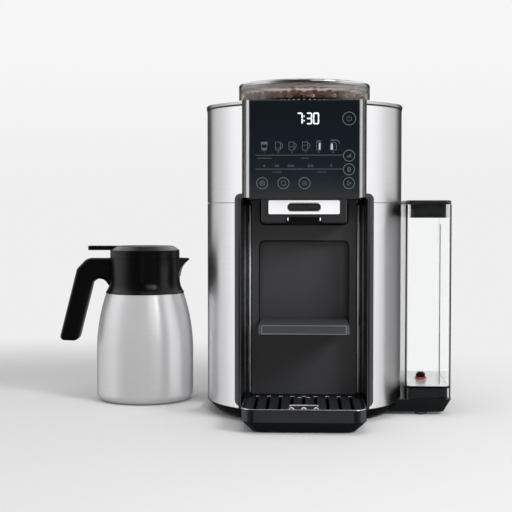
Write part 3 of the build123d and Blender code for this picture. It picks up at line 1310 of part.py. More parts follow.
def collar_body(gap):
    """Solid of revolution of the collar, grown by a gap: straight neck that flares out to the shoulder."""
    waist = COLLAR_WAIST_R + gap
    foot = CARAFE_SHOULDER_R + COLLAR_PROUD + gap
    low = CARAFE_SHOULDER_Z
    band = low + COLLAR_BAND_H
    edges = [
        Line((0, COLLAR_TOP), (waist, COLLAR_TOP)),
        Line((waist, COLLAR_TOP), (waist, COLLAR_WAIST_Z)),
        TangentArc((waist, COLLAR_WAIST_Z), (foot, band), tangent=(0, -1)),
        Line((foot, band), (foot, low)),
        Line((foot, low), (0, low)),
        Line((0, low), (0, COLLAR_TOP)),
    ]
    return revolve(Plane.XZ * make_face(edges), Axis.Z)


def beak(inset):
    """Pour lip on the side away from the handle, set in by a wall."""
    reach = BEAK_REACH - inset
    tip = BEAK_TIP_HALF - inset / 2
    half = BEAK_HALF - inset
    root = CARAFE_NECK_R - 5
    plan = outline([(root, -half), (reach, -tip), (reach, tip), (root, half)])
    top = COLLAR_TOP + (OVER if inset else 0)
    low = BEAK_LOW_Z + inset
    hollow = (BEAK_HOLLOW[0] - inset / 2, BEAK_HOLLOW[1] + inset)
    tip_z = BEAK_TIP_Z + inset / 2
    edges = [
        Line((root, low), (COLLAR_WAIST_R, low)),
        ThreePointArc((COLLAR_WAIST_R, low), hollow, (reach, tip_z)),
        Line((reach, tip_z), (reach, top)),
        Line((reach, top), (root, top)),
        Line((root, top), (root, low)),
    ]
    return upright(plan, 0, 300) & front_prism(make_face(edges), -60, 60)


def carafe_collar():
    """Black collar on the neck with the pour lip."""
    bore = CARAFE_NECK_R + FIT
    collar = collar_body(0) + beak(0)
    collar -= beak(BEAK_WALL)
    collar -= post(bore, 0, 300)
    return Pos(CARAFE_X, CARAFE_Y, 0) * collar


def carafe_handle():
    """Hook handle, open at the bottom."""
    top = COLLAR_TOP - HANDLE_DROP
    outer = [(HANDLE_ROOT_X, top), (HANDLE_KNEE_X, top), HANDLE_ELBOW, HANDLE_FOOT]
    inner = [HANDLE_HEEL, HANDLE_ARCH, HANDLE_CROWN, HANDLE_SPRING, (HANDLE_ROOT_X, HANDLE_SPRING[1])]
    points = [(-x, z) for x, z in outer + inner]
    handle = front_prism(outline(points, HANDLE_ROUNDS), -HANDLE_HALF, HANDLE_HALF)
    rim = handle.faces().sort_by(Axis.Y)[0].edges() + handle.faces().sort_by(Axis.Y)[-1].edges()
    handle = fillet([edge for edge in rim if edge.bounding_box().max.X < -CARAFE_NECK_R], HANDLE_EDGE_R)
    return Pos(CARAFE_X, CARAFE_Y, 0) * (handle - collar_body(FIT))


def carafe_lid():
    """Screw-in lid with a slot for the lever and a pour window."""
    base = COLLAR_TOP + FIT
    inner = LID_PLUG_R - LID_WALL
    points = [(inner, LID_PLUG_Z), (LID_PLUG_R, LID_PLUG_Z), (LID_PLUG_R, base), (LID_R, base),
              (LID_R, LID_SHOULDER_Z), (LID_TOP_R, LID_TOP_Z), (0, LID_TOP_Z), (0, LID_CEILING_Z),
              (inner, LID_CEILING_Z)]
    lid = turned(points)
    half = LEVER_HALF + LEVER_SLOT_GAP
    lid -= block((-LID_R - OVER, LEVER_INNER + 2), (-half, half), (LEVER_SLOT_Z, LID_TOP_Z + OVER))
    lid -= block((-4, LEVER_INNER), (-6, 6), (LID_CEILING_Z - OVER, LEVER_SLOT_Z + OVER))
    lid -= block((LID_PLUG_R - 10, LID_R), (-12, 12), (LID_PLUG_Z + 4, base - 3))
    lid -= bar_y(LEVER_PIN_R + SNUG, -half - 5, half + 5, -LEVER_PIN_X, LEVER_PIN_Z)
    return Pos(CARAFE_X, CARAFE_Y, 0) * lid


def carafe_lever():
    """Thumb lever that opens the pour hole in the lid."""
    plan = rounded_plan((-LEVER_REACH, LEVER_INNER), (-LEVER_HALF, LEVER_HALF), 4.0)
    lever = upright(plan, LEVER_Z, LEVER_Z + LEVER_T)
    lever += bar_y(LEVER_HUB_R, -LEVER_HALF, LEVER_HALF, -LEVER_PIN_X, LEVER_PIN_Z)
    lever -= bar_y(LEVER_PIN_R + RUN, -LEVER_HALF - OVER, LEVER_HALF + OVER, -LEVER_PIN_X, LEVER_PIN_Z)
    return Pos(CARAFE_X, CARAFE_Y, 0) * lever


def lever_pin():
    """Pivot pin of the thumb lever."""
    end = LEVER_HALF + LEVER_SLOT_GAP + 5
    return Pos(CARAFE_X, CARAFE_Y, 0) * bar_y(LEVER_PIN_R, -end, end, -LEVER_PIN_X, LEVER_PIN_Z)


MAKERS = [
    base_pan, rubber_feet, tank_dock, bay_frame, mid_deck, lower_sheets, upper_sheets, rear_cover,
    case_screws, top_deck, top_trim, hopper, hopper_lid, lid_seal, display_housing, display_glass,
    circuit_boards, trim_rods, spout_housing, spout_plate, spout_nozzle, drip_tray, drip_grid,
    tray_float, bay_panel, cup_shelf, shelf_plate, shelf_rod, grounds_bin, grinder_housing, ring_burr,
    cone_burr, burr_shaft, drive_gear, gear_case, grinder_motor, motor_pinion, grounds_chute,
    brew_chamber, brew_piston, brew_spindle, brew_motor, water_pump, flow_meter, heater, hoses,
    power_inlet, switch_rocker, water_tank, tank_lid, tank_pin, tank_valve, valve_seal, carafe_shell,
    carafe_liner, carafe_collar, carafe_handle, carafe_lid, carafe_lever, lever_pin,
]

pieces = {maker.__name__: maker() for maker in MAKERS}
box = Compound([solid for piece in pieces.values() for solid in piece.solids()]).bounding_box()
FRAME_X = -(box.min.X + box.max.X) / 2
FRAME_Y = -(box.min.Y + box.max.Y) / 2

os.makedirs("parts", exist_ok=True)
for name, piece in pieces.items():
    placed = Compound([Pos(FRAME_X, FRAME_Y, 0) * solid for solid in piece.solids()])
    export_step(placed, f"parts/{name}.step")
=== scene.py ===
"""Looks of the drip coffee maker and its thermal carafe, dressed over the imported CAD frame.

Lengths are metres in the frame of the CAD model: +X to the side of the water tank, +Y to the back, +Z up.
Sizes of marks and strips are millimetres on the face that carries them.
"""

from __future__ import annotations

import json
import logging
import math
import random
from dataclasses import dataclass
from enum import Enum
from typing import Any, Callable, Mapping, Optional, Sequence, Union

import bmesh
import bpy
from mathutils import Euler, Matrix, Vector


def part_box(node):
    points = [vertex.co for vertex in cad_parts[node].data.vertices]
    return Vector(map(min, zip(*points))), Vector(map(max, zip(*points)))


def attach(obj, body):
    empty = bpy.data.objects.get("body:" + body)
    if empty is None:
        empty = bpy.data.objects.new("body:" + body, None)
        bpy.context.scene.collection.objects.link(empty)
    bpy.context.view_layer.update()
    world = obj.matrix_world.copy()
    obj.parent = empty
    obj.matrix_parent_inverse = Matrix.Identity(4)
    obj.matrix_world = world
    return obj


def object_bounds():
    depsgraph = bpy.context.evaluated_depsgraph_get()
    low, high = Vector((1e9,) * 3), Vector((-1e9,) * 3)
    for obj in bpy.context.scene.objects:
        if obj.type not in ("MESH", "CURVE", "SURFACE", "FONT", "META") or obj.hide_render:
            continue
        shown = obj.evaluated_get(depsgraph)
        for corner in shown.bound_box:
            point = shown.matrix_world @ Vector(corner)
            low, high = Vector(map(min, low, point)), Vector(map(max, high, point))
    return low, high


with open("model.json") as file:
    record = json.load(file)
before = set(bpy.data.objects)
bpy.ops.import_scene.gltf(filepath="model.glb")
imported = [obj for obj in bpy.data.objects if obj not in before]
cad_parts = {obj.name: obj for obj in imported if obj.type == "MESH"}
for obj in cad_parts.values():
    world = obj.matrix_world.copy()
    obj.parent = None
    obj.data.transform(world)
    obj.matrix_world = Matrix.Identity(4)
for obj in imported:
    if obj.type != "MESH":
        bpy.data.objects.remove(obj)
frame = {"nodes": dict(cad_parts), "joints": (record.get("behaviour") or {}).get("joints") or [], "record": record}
CAD_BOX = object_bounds()

LOG = logging.getLogger("coffee_maker")
MM = 0.001
RIGHT = Vector((1.0, 0.0, 0.0))
BACK = Vector((0.0, 1.0, 0.0))
UP = Vector((0.0, 0.0, 1.0))

Triple = tuple[float, float, float]
Colour = Triple
Spot = tuple[float, float]
Outline = Sequence[Spot]
Stroke = tuple[Outline, float]
Names = tuple[str, ...]
Special = tuple[tuple[str, "Finish"], ...]
Value = Union["Wire", float]

CENTRE: Spot = (0.0, 0.0)


class Body(str, Enum):
    """Bodies of the CAD model that carry a piece made here."""

    MACHINE = "machine"
    ROCKER = "rocker"
    DRAWER = "drawer"
    SHELF = "shelf"
    GRID = "grid"
    TANK = "tank"


class Segment(Enum):
    """Strokes of a clock digit, each between two corners, in widths and half heights of the digit."""

    TOP = ((0, 2), (1, 2))
    HIGH_LEFT = ((0, 1), (0, 2))
    HIGH_RIGHT = ((1, 1), (1, 2))
    MIDDLE = ((0, 1), (1, 1))
    LOW_LEFT = ((0, 0), (0, 1))
    LOW_RIGHT = ((1, 0), (1, 1))
    BOTTOM = ((0, 0), (1, 0))


RIGHT_SIDE = (Segment.HIGH_RIGHT, Segment.LOW_RIGHT)
DIGITS: dict[str, tuple[Segment, ...]] = {
    "0": tuple(segment for segment in Segment if segment is not Segment.MIDDLE),
    "1": RIGHT_SIDE,
    "2": (Segment.TOP, Segment.HIGH_RIGHT, Segment.MIDDLE, Segment.LOW_LEFT, Segment.BOTTOM),
    "3": (Segment.TOP, Segment.MIDDLE, Segment.BOTTOM, *RIGHT_SIDE),
    "4": (Segment.HIGH_LEFT, Segment.MIDDLE, *RIGHT_SIDE),
    "5": (Segment.TOP, Segment.HIGH_LEFT, Segment.MIDDLE, Segment.LOW_RIGHT, Segment.BOTTOM),
    "6": tuple(segment for segment in Segment if segment is not Segment.HIGH_RIGHT),
    "7": (Segment.TOP, *RIGHT_SIDE),
}


def shaded(colour: Colour, factor: float) -> Colour:
    """A colour made lighter or darker by a factor."""
    return tuple(min(1.0, part * factor) for part in colour)


def grey(level: float) -> Colour:
    """A colour of three equal parts."""
    return (level, level, level)


def middle_of(node: str) -> Vector:
    """The middle of a CAD node's box."""
    low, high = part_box(node)
    return (low + high) / 2


def add_object(name: str, data: bpy.types.ID) -> bpy.types.Object:
    """Puts new data into the scene as an object.

    Args:
        name: the object's name.
        data: its mesh, lamp or camera.

    Returns:
        The object.
    """
    made = bpy.data.objects.new(name, data)
    bpy.context.scene.collection.objects.link(made)
    return made


class Wire:
    """One output of a shader node, so that Python's operators on it add Math nodes."""

    def __init__(self, graph: Graph, socket: bpy.types.NodeSocket) -> None:
        """Keeps the socket and the graph that it belongs to."""
        self.graph = graph
        self.socket = socket

    def apply(self, operation: str, *operands: Value) -> Wire:
        """Adds a Math node.

        Args:
            operation: the Math node's operation.
            operands: its values or links, in order.

        Returns:
            The node's result.
        """
        return self.graph.node("ShaderNodeMath", {"operation": operation}, dict(enumerate(operands)))

    def __add__(self, other: Value) -> Wire:
        """Sum."""
        return self.apply("ADD", self, other)

    def __radd__(self, other: Value) -> Wire:
        """Sum with the number first."""
        return self.apply("ADD", other, self)

    def __sub__(self, other: Value) -> Wire:
        """Difference."""
        return self.apply("SUBTRACT", self, other)

    def __rsub__(self, other: Value) -> Wire:
        """Difference with the number first."""
        return self.apply("SUBTRACT", other, self)

    def __mul__(self, other: Value) -> Wire:
        """Product."""
        return self.apply("MULTIPLY", self, other)

    def __rmul__(self, other: Value) -> Wire:
        """Product with the number first."""
        return self.apply("MULTIPLY", other, self)

    def __truediv__(self, other: Value) -> Wire:
        """Quotient."""
        return self.apply("DIVIDE", self, other)

    def __rtruediv__(self, other: Value) -> Wire:
        """Quotient with the number first."""
        return self.apply("DIVIDE", other, self)

    def __pow__(self, other: Value) -> Wire:
        """Power."""
        return self.apply("POWER", self, other)

    def __rpow__(self, other: Value) -> Wire:
        """Power with the number first."""
        return self.apply("POWER", other, self)

    def __abs__(self) -> Wire:
        """The value without its sign."""
        return self.apply("ABSOLUTE", self)

    def larger(self, other: Value) -> Wire:
        """The larger of two values."""
        return self.apply("MAXIMUM", self, other)

    def smaller(self, other: Value) -> Wire:
        """The smaller of two values."""
        return self.apply("MINIMUM", self, other)

    def step(self, low: float, high: float) -> Wire:
        """Smooth change from 0 at one value to 1 at another.

        Args:
            low: value that gives 0.
            high: value that gives 1.

        Returns:
            The smooth step.
        """
        settings = {"interpolation_type": "SMOOTHSTEP"}
        sockets = {"Value": self, "From Min": low, "From Max": high}
        return self.graph.node("ShaderNodeMapRange", settings, sockets)


class Graph:
    """Adds nodes to the tree of one material or of the world."""

    def __init__(self, tree: bpy.types.NodeTree) -> None:
        """Empties the tree and keeps it."""
        tree.nodes.clear()
        self.tree = tree

    def node(self, kind: str, settings: Optional[Mapping[str, Any]] = None,
             sockets: Optional[Mapping[Union[str, int], Any]] = None,
             output: Union[str, int] = 0) -> Optional[Wire]:
        """Adds any node.

        Args:
            kind: the node's type.
            settings: the node's own properties; "stops" gives a ramp's positions and grey levels.
            sockets: values or links of its inputs, by name or number.
            output: name or number of the output that is wanted.

        Returns:
            That output, or None where the node has no outputs.
        """
        made = self.tree.nodes.new(kind)
        for name, value in (settings or {}).items():
            if name == "stops":
                self._set_stops(made.color_ramp, value)
            else:
                setattr(made, name, value)
        for key, value in (sockets or {}).items():
            if isinstance(value, Wire):
                self.tree.links.new(value.socket, made.inputs[key])
            else:
                made.inputs[key].default_value = value
        return Wire(self, made.outputs[output]) if made.outputs else None

    @staticmethod
    def _set_stops(ramp: bpy.types.ColorRamp, stops: Sequence[Spot]) -> None:
        """Gives a ramp its stops.

        Args:
            ramp: the ramp to set.
            stops: position and grey level of each stop, in rising order.
        """
        while len(ramp.elements) < len(stops):
            ramp.elements.new(1.0)
        for element, (position, level) in zip(ramp.elements, stops):
            element.position = position
            element.color = (*grey(level), 1.0)

    def ramp(self, value: Wire, stops: Sequence[Spot]) -> Wire:
        """Grey level read from a ramp at a value."""
        return self.node("ShaderNodeValToRGB", {"stops": stops}, {"Fac": value})

    def place(self, stretch: Triple = (1.0, 1.0, 1.0)) -> Wire:
        """Place on the piece, each axis multiplied by a factor."""
        point = self.node("ShaderNodeTexCoord", output="Object")
        return self.node("ShaderNodeVectorMath", {"operation": "MULTIPLY"}, {0: point, 1: stretch})

    def split(self, vector: Wire) -> tuple[Wire, Wire, Wire]:
        """The three parts of a vector."""
        outputs = self.node("ShaderNodeSeparateXYZ", sockets={"Vector": vector}).socket.node.outputs
        return tuple(Wire(self, socket) for socket in outputs)

    def noise(self, scale: float, detail: float = 2.0, stretch: Triple = (1.0, 1.0, 1.0)) -> Wire:
        """Cloudy value about 0.5.

        Args:
            scale: features in a metre.
            detail: octaves of finer features.
            stretch: factor on each axis.

        Returns:
            The noise value.
        """
        sockets = {"Vector": self.place(stretch), "Scale": scale, "Detail": detail}
        return self.node("ShaderNodeTexNoise", sockets=sockets)

    def cells(self, scale: float, feature: str = "F1") -> Wire:
        """Distance to the nearest of many scattered points, or to the edge between two."""
        sockets = {"Vector": self.place(), "Scale": scale}
        return self.node("ShaderNodeTexVoronoi", {"feature": feature}, sockets)

    def tint(self, low: Union[Colour, Wire], high: Union[Colour, Wire], share: Value) -> Wire:
        """Colour between two others.

        Args:
            low: colour where the share is 0.
            high: colour where the share is 1.
            share: how much of the second colour.

        Returns:
            The mixed colour.
        """
        ends = [end if isinstance(end, Wire) else (*end, 1.0) for end in (low, high)]
        sockets = {0: share, 6: ends[0], 7: ends[1]}
        return self.node("ShaderNodeMix", {"data_type": "RGBA"}, sockets, output=2)

    def bump(self, height: Wire, depth: float, strength: float) -> Wire:
        """Normal of a surface with small heights of a given depth."""
        sockets = {"Height": height, "Distance": depth, "Strength": strength}
        return self.node("ShaderNodeBump", sockets=sockets)

    def path(self, name: str) -> Wire:
        """One output of the Light Path node."""
        return self.node("ShaderNodeLightPath", output=name)

    def passed(self) -> Wire:
        """1 where a ray has come through clear plastic and has met no dull surface."""
        return self.path("Transmission Depth").smaller(1.0) * (1.0 - self.path("Is Diffuse Ray"))

    def mirrored(self) -> Wire:
        """1 where a bright surface mirrors a ray, also through clear plastic; 0 for the eye."""
        return self.path("Is Glossy Ray") * self.path("Glossy Depth").smaller(1.0)

    def surface(self, sockets: Mapping[str, Any]) -> Wire:
        """Principled shader."""
        return self.node("ShaderNodeBsdfPrincipled", sockets=sockets)

    def glow(self, level: float) -> Wire:
        """Shader that gives off an even grey."""
        return self.node("ShaderNodeEmission", sockets={"Color": (*grey(level), 1.0)})

    def blend(self, first: Wire, second: Wire, share: Wire) -> Wire:
        """Shader between two others."""
        return self.node("ShaderNodeMixShader", sockets={0: share, 1: first, 2: second})


def new_material(name: str, shade: Callable[[Graph], Wire]) -> bpy.types.Material:
    """Makes a material.

    Args:
        name: its name.
        shade: builds its shader in a graph.

    Returns:
        The material.
    """
    made = bpy.data.materials.new(name)
    made.use_nodes = True
    graph = Graph(made.node_tree)
    graph.node("ShaderNodeOutputMaterial", sockets={"Surface": shade(graph)})
    return made


@dataclass(frozen=True)
class Finish:
    """Finish of a surface; each kind builds its own nodes."""

    slot: str
    base: Colour
    roughness: float
    tones: Spot = (1.0, 1.0)

    def shade(self, graph: Graph) -> Wire:
        """Builds the shader in a graph and gives its output."""
        raise NotImplementedError

    def varied(self, graph: Graph, share: Wire) -> Wire:
        """The base colour between its darker and its lighter tone."""
        return graph.tint(shaded(self.base, self.tones[0]), shaded(self.base, self.tones[1]), share)

    def uneven(self, *swings: tuple[Wire, float]) -> Wire:
        """Roughness that swings about its value.

        Args:
            swings: noises and the gain of each.

        Returns:
            The roughness.
        """
        total = self.roughness
        for noise, gain in swings:
            total = total + (noise - 0.5) * gain
        return total

    def material(self) -> bpy.types.Material:
        """The finish as a material, made at its first use."""
        name = f"{self.slot}_finish"
        return bpy.data.materials.get(name) or new_material(name, self.shade)


@dataclass(frozen=True)
class BrushedSteel(Finish):
    """Steel with fine level brush lines and soft patches of polish."""

    tones: Spot = (0.94, 1.05)
    lines: float = 2600.0
    along: float = 14.0
    contrast: float = 0.08
    line_depth: float = 0.00001
    line_strength: float = 0.25
    metallic: float = 1.0
    spread: float = 0.5
    spread_turn: float = 0.25
    patch_scale: float = 6.0
    patch_gain: float = 0.05

    def shade(self, graph: Graph) -> Wire:
        """Brush lines in colour, roughness and height; the highlight is drawn out across them.

        Args:
            graph: graph of the material.

        Returns:
            The shader.
        """
        line = graph.noise(1.0, stretch=(self.along, self.along, self.lines))
        patch = graph.noise(self.patch_scale, detail=3.0)
        return graph.surface({
            "Base Color": self.varied(graph, line),
            "Metallic": self.metallic,
            "Roughness": self.uneven((line, self.contrast), (patch, self.patch_gain)),
            "Anisotropic": self.spread,
            "Anisotropic Rotation": self.spread_turn,
            "Normal": graph.bump(line, self.line_depth, self.line_strength),
        })


@dataclass(frozen=True)
class PolishedMetal(Finish):
    """Bright metal with a faint haze."""

    tones: Spot = (0.96, 1.0)
    haze: float = 0.04
    haze_scale: float = 18.0
    hairlines: Triple = (900.0, 900.0, 40.0)

    def hazed(self, graph: Graph) -> Wire:
        """Roughness with a cloudy haze on it."""
        return self.roughness + graph.noise(self.haze_scale, detail=4.0) * self.haze

    def shade(self, graph: Graph) -> Wire:
        """Haze in roughness, hairlines in colour.

        Args:
            graph: graph of the material.

        Returns:
            The shader.
        """
        return graph.surface({
            "Base Color": self.varied(graph, graph.noise(1.0, stretch=self.hairlines)),
            "Metallic": 1.0,
            "Roughness": self.hazed(graph),
        })


@dataclass(frozen=True)
class PaintedLightRod(PolishedMetal):
    """Bright rod with a painted highlight on its face beside the glass and painted shade on its edge beside the
    sheet.
    """

    # pale is the colour of the painted highlight, dark the colour of the painted shade
    pale: Colour = (0.58, 0.58, 0.59)
    dark: Colour = (0.012, 0.012, 0.013)
    highlight_reach: float = 0.0745
    shade_from: float = 0.0778
    blur: float = 0.0003
    dullness: float = 0.9

    def shade(self, graph: Graph) -> Wire:
        """Painted highlight on the inner face and painted shade on the outer edge, placed by the distance from the
        middle of the machine.

        Args:
            graph: graph of the material.

        Returns:
            The shader.
        """
        reach = abs(graph.split(graph.place())[0] - middle_of("trim_rods").x)
        # inner masks the painted highlight, outer masks the painted shade
        inner = reach.step(self.highlight_reach + self.blur, self.highlight_reach)
        outer = reach.step(self.shade_from, self.shade_from + self.blur)
        return graph.surface({
            "Base Color": graph.tint(graph.tint(self.base, self.pale, inner), self.dark, outer),
            "Metallic": 1.0 - inner.larger(outer) * self.dullness,
            "Roughness": self.hazed(graph),
        })


@dataclass(frozen=True)
class MouldedPlastic(Finish):
    """Plastic with a fine moulded grain, cloudy gloss and a little colour variation."""

    tones: Spot = (0.82, 1.18)
    grain: float = 1500.0
    depth: float = 0.00003
    grain_strength: float = 0.35
    cloud: float = 0.10
    cloud_scale: float = 11.0
    cloud_share: float = 0.6
    mirror: float = 0.5

    def shade(self, graph: Graph) -> Wire:
        """Grain in height and roughness, clouds in gloss and colour.

        Args:
            graph: graph of the material.

        Returns:
            The shader.
        """
        pebble = graph.noise(self.grain)
        patch = graph.noise(self.cloud_scale, detail=3.0)
        mottle = patch * self.cloud_share + pebble * (1.0 - self.cloud_share)
        return graph.surface({
            "Base Color": self.varied(graph, mottle),
            "Roughness": self.uneven((patch, self.cloud), (pebble, self.cloud)),
            "Specular IOR Level": self.mirror,
            "Normal": graph.bump(pebble, self.depth, self.grain_strength),
        })


@dataclass(frozen=True)
class ClearPlastic(Finish):
    """Clear moulded plastic that light passes through."""

    tones: Spot = (0.97, 1.0)
    ior: float = 1.49
    ripple: float = 0.000004
    ripple_scale: float = 22.0
    ripple_strength: float = 0.5
    haze: float = 0.02
    haze_scale: float = 30.0

    def shade(self, graph: Graph) -> Wire:
        """Clear body with a slow ripple from the mould and a breath of haze.

        Args:
            graph: graph of the material.

        Returns:
            The shader.
        """
        wave = graph.noise(self.ripple_scale, detail=1.0)
        patch = graph.noise(self.haze_scale, detail=3.0)
        return graph.surface({
            "Base Color": self.varied(graph, patch),
            "Roughness": self.roughness + patch * self.haze,
            "IOR": self.ior,
            "Transmission Weight": 1.0,
            "Normal": graph.bump(wave, self.ripple, self.ripple_strength),
        })


@dataclass(frozen=True)
class BandedLid(ClearPlastic):
    """Clear lid whose upright rim carries a dark mirror band."""

    band: Colour = (0.50, 0.50, 0.51)
    band_shade: float = 0.92
    band_roughness: float = 0.08
    band_haze: float = 0.06
    band_scale: float = 40.0
    band_low: float = 0.4409
    band_blur: float = 0.0002
    upright: Spot = (0.75, 0.45)

    def shade(self, graph: Graph) -> Wire:
        """Clear plastic on level faces and on the plug, mirror on the rim above the hopper.

        Args:
            graph: graph of the material.

        Returns:
            The shader.
        """
        lean = graph.split(graph.node("ShaderNodeTexCoord", output="Normal"))[2]
        height = graph.split(graph.place())[2]
        rim = abs(lean).step(*self.upright) * height.step(self.band_low, self.band_low + self.band_blur)
        patch = graph.noise(self.band_scale, detail=3.0)
        mirror = graph.surface({
            "Base Color": graph.tint(shaded(self.band, self.band_shade), self.band, patch),
            "Metallic": 1.0,
            "Roughness": self.band_roughness + patch * self.band_haze,
        })
        return graph.blend(super().shade(graph), mirror, rim)


@dataclass(frozen=True)
class PanelGlass(Finish):
    """Dark glass with faint wipe marks, its colour painted lighter towards the bottom as a painted reflection."""

    # tones and fade paint the colour lighter towards the bottom: a painted reflection
    tones: Spot = (1.0, 1.7)
    fade: Spot = (0.42, 0.30)
    wipes: Triple = (35.0, 35.0, 9.0)
    wipe_gain: float = 0.05
    coat: float = 0.3
    coat_roughness: float = 0.02

    def shade(self, graph: Graph) -> Wire:
        """Wipe marks in gloss; colour painted up to 1.7 times lighter towards the bottom, a painted reflection.

        Args:
            graph: graph of the material.

        Returns:
            The shader.
        """
        wipe = graph.noise(1.0, detail=4.0, stretch=self.wipes)
        return graph.surface({
            "Base Color": self.varied(graph, graph.split(graph.place())[2].step(*self.fade)),
            "Roughness": self.roughness + wipe * self.wipe_gain,
            "Coat Weight": self.coat,
            "Coat Roughness": self.coat_roughness,
        })


@dataclass(frozen=True)
class Rubber(Finish):
    """Dull rubber with a fine dusty bloom."""

    tones: Spot = (0.85, 1.3)
    pits: float = 900.0
    pit_depth: float = 0.00005
    pit_strength: float = 0.3
    dust_scale: float = 60.0
    dust_gain: float = 0.1

    def shade(self, graph: Graph) -> Wire:
        """Dust in colour and gloss, small pits in height.

        Args:
            graph: graph of the material.

        Returns:
            The shader.
        """
        dust = graph.noise(self.dust_scale, detail=4.0)
        return graph.surface({
            "Base Color": self.varied(graph, dust),
            "Roughness": self.uneven((dust, self.dust_gain)),
            "Normal": graph.bump(graph.cells(self.pits), self.pit_depth, self.pit_strength),
        })


@dataclass(frozen=True)
class CastMetal(Finish):
    """Sand-cast light metal."""

    tones: Spot = (0.7, 1.0)
    grains: float = 700.0
    grain_depth: float = 0.0002
    grain_strength: float = 0.4
    oxide_scale: float = 25.0
    oxide_gain: float = 0.2

    def shade(self, graph: Graph) -> Wire:
        """Grains in height, oxide clouds in colour and gloss.

        Args:
            graph: graph of the material.

        Returns:
            The shader.
        """
        oxide = graph.noise(self.oxide_scale, detail=5.0)
        return graph.surface({
            "Base Color": self.varied(graph, oxide),
            "Metallic": 1.0,
            "Roughness": self.uneven((oxide, self.oxide_gain)),
            "Normal": graph.bump(graph.cells(self.grains), self.grain_depth, self.grain_strength),
        })


@dataclass(frozen=True)
class CircuitBoard(Finish):
    """Lacquered board with tinned tracks and pads."""

    track: Colour = (0.45, 0.42, 0.30)
    track_scale: float = 120.0
    track_edge: Spot = (0.06, 0.03)
    pad_scale: float = 210.0
    pad_edge: Spot = (0.22, 0.16)
    polish: float = 0.1
    relief: float = 0.00005
    relief_strength: float = 0.4

    def shade(self, graph: Graph) -> Wire:
        """Tracks from the edges between cells, pads from the cells' middles.

        Args:
            graph: graph of the material.

        Returns:
            The shader.
        """
        line = graph.cells(self.track_scale, feature="DISTANCE_TO_EDGE").step(*self.track_edge)
        metal = line.larger(graph.cells(self.pad_scale).step(*self.pad_edge))
        return graph.surface({
            "Base Color": graph.tint(self.base, self.track, metal),
            "Metallic": metal,
            "Roughness": self.roughness - metal * self.polish,
            "Normal": graph.bump(metal, self.relief, self.relief_strength),
        })


@dataclass(frozen=True)
class RoastedBean(Finish):
    """Oily roasted bean skin, each bean of its own roast."""

    dark: Colour = (0.035, 0.012, 0.006)
    chaff: float = 1.9
    fleck_scale: float = 900.0
    fleck_edge: Spot = (0.62, 0.80)
    fleck_gain: float = 0.25
    wrinkles: Triple = (500.0, 1600.0, 1600.0)
    wrinkle_depth: float = 0.0002
    wrinkle_strength: float = 0.4
    oil: float = 0.35
    oil_roughness: float = 0.25

    def shade(self, graph: Graph) -> Wire:
        """Roast from the bean's own value, chaff flecks and wrinkles from noise.

        Args:
            graph: graph of the material.

        Returns:
            The shader.
        """
        roast = graph.node("ShaderNodeAttribute", {"attribute_name": "roast"}, output="Fac")
        fleck = graph.noise(self.fleck_scale, detail=3.0)
        wrinkle = graph.noise(1.0, stretch=self.wrinkles)
        skin = graph.tint(self.dark, self.base, roast)
        return graph.surface({
            "Base Color": graph.tint(skin, shaded(self.base, self.chaff), fleck.step(*self.fleck_edge)),
            "Roughness": self.uneven((fleck, self.fleck_gain)),
            "Coat Weight": self.oil,
            "Coat Roughness": self.oil_roughness,
            "Normal": graph.bump(wrinkle, self.wrinkle_depth, self.wrinkle_strength),
        })


@dataclass(frozen=True)
class LitInk(Finish):
    """Printed mark that a lamp behind the glass makes glow; it also makes the painted glow round the clock digits.
    """

    tones: Spot = (0.85, 1.0)
    glow: float = 1.0
    mottle_scale: float = 700.0

    def shade(self, graph: Graph) -> Wire:
        """Even glow with a slight mottle, as light through a screen print has.

        Args:
            graph: graph of the material.

        Returns:
            The shader.
        """
        colour = self.varied(graph, graph.noise(self.mottle_scale))
        return graph.surface({
            "Base Color": colour,
            "Roughness": self.roughness,
            "Emission Color": colour,
            "Emission Strength": self.glow,
        })


FINISHES: dict[str, Finish] = {finish.slot: finish for finish in (
    BrushedSteel("brushed_steel", (0.80, 0.80, 0.815), 0.30, spread=0.9),
    PolishedMetal("polished_chrome", (0.86, 0.86, 0.87), 0.04),
    BrushedSteel("trim_silver", (0.52, 0.52, 0.53), 0.20, lines=900.0, spread=0.2),
    MouldedPlastic("gloss_black", (0.011, 0.012, 0.014), 0.11, grain=160.0, depth=0.00002, cloud=0.05),
    MouldedPlastic("satin_black", (0.0012, 0.0013, 0.0016), 0.27, mirror=0.28),
    MouldedPlastic("panel_grey", (0.055, 0.056, 0.060), 0.40),
    # painted reflection: lighter towards the bottom
    PanelGlass("black_glass", (0.0045, 0.0075, 0.0105), 0.05),
    ClearPlastic("smoked_clear", (0.75, 0.72, 0.71), 0.02),
    ClearPlastic("tank_clear", (0.995, 0.998, 1.0), 0.0, ior=1.2),
    Rubber("rubber_grey", (0.045, 0.045, 0.046), 0.75),
    Rubber("seal_black", (0.020, 0.020, 0.021), 0.60),
    MouldedPlastic("signal_red", (0.52, 0.055, 0.025), 0.35),
    BrushedSteel("carafe_steel", (0.76, 0.76, 0.77), 0.36, lines=3200.0, contrast=0.06, metallic=0.30,
                 spread=0.8),
    BrushedSteel("machined_steel", (0.56, 0.56, 0.57), 0.30, lines=1800.0, spread=0.0),
    CastMetal("cast_aluminium", (0.66, 0.66, 0.67), 0.45),
    MouldedPlastic("inner_white", (0.70, 0.70, 0.68), 0.45),
    CircuitBoard("board_green", (0.02, 0.16, 0.06), 0.35),
    ClearPlastic("hose_clear", (0.88, 0.88, 0.86), 0.25),
)}
CHROME = FINISHES["polished_chrome"]
SIGNAL_RED = FINISHES["signal_red"]
LID_FINISH = BandedLid("hopper_lid", (0.78, 0.76, 0.75), 0.02)
BEAN_FINISH = RoastedBean("roasted_bean", (0.47, 0.25, 0.19), 0.36)
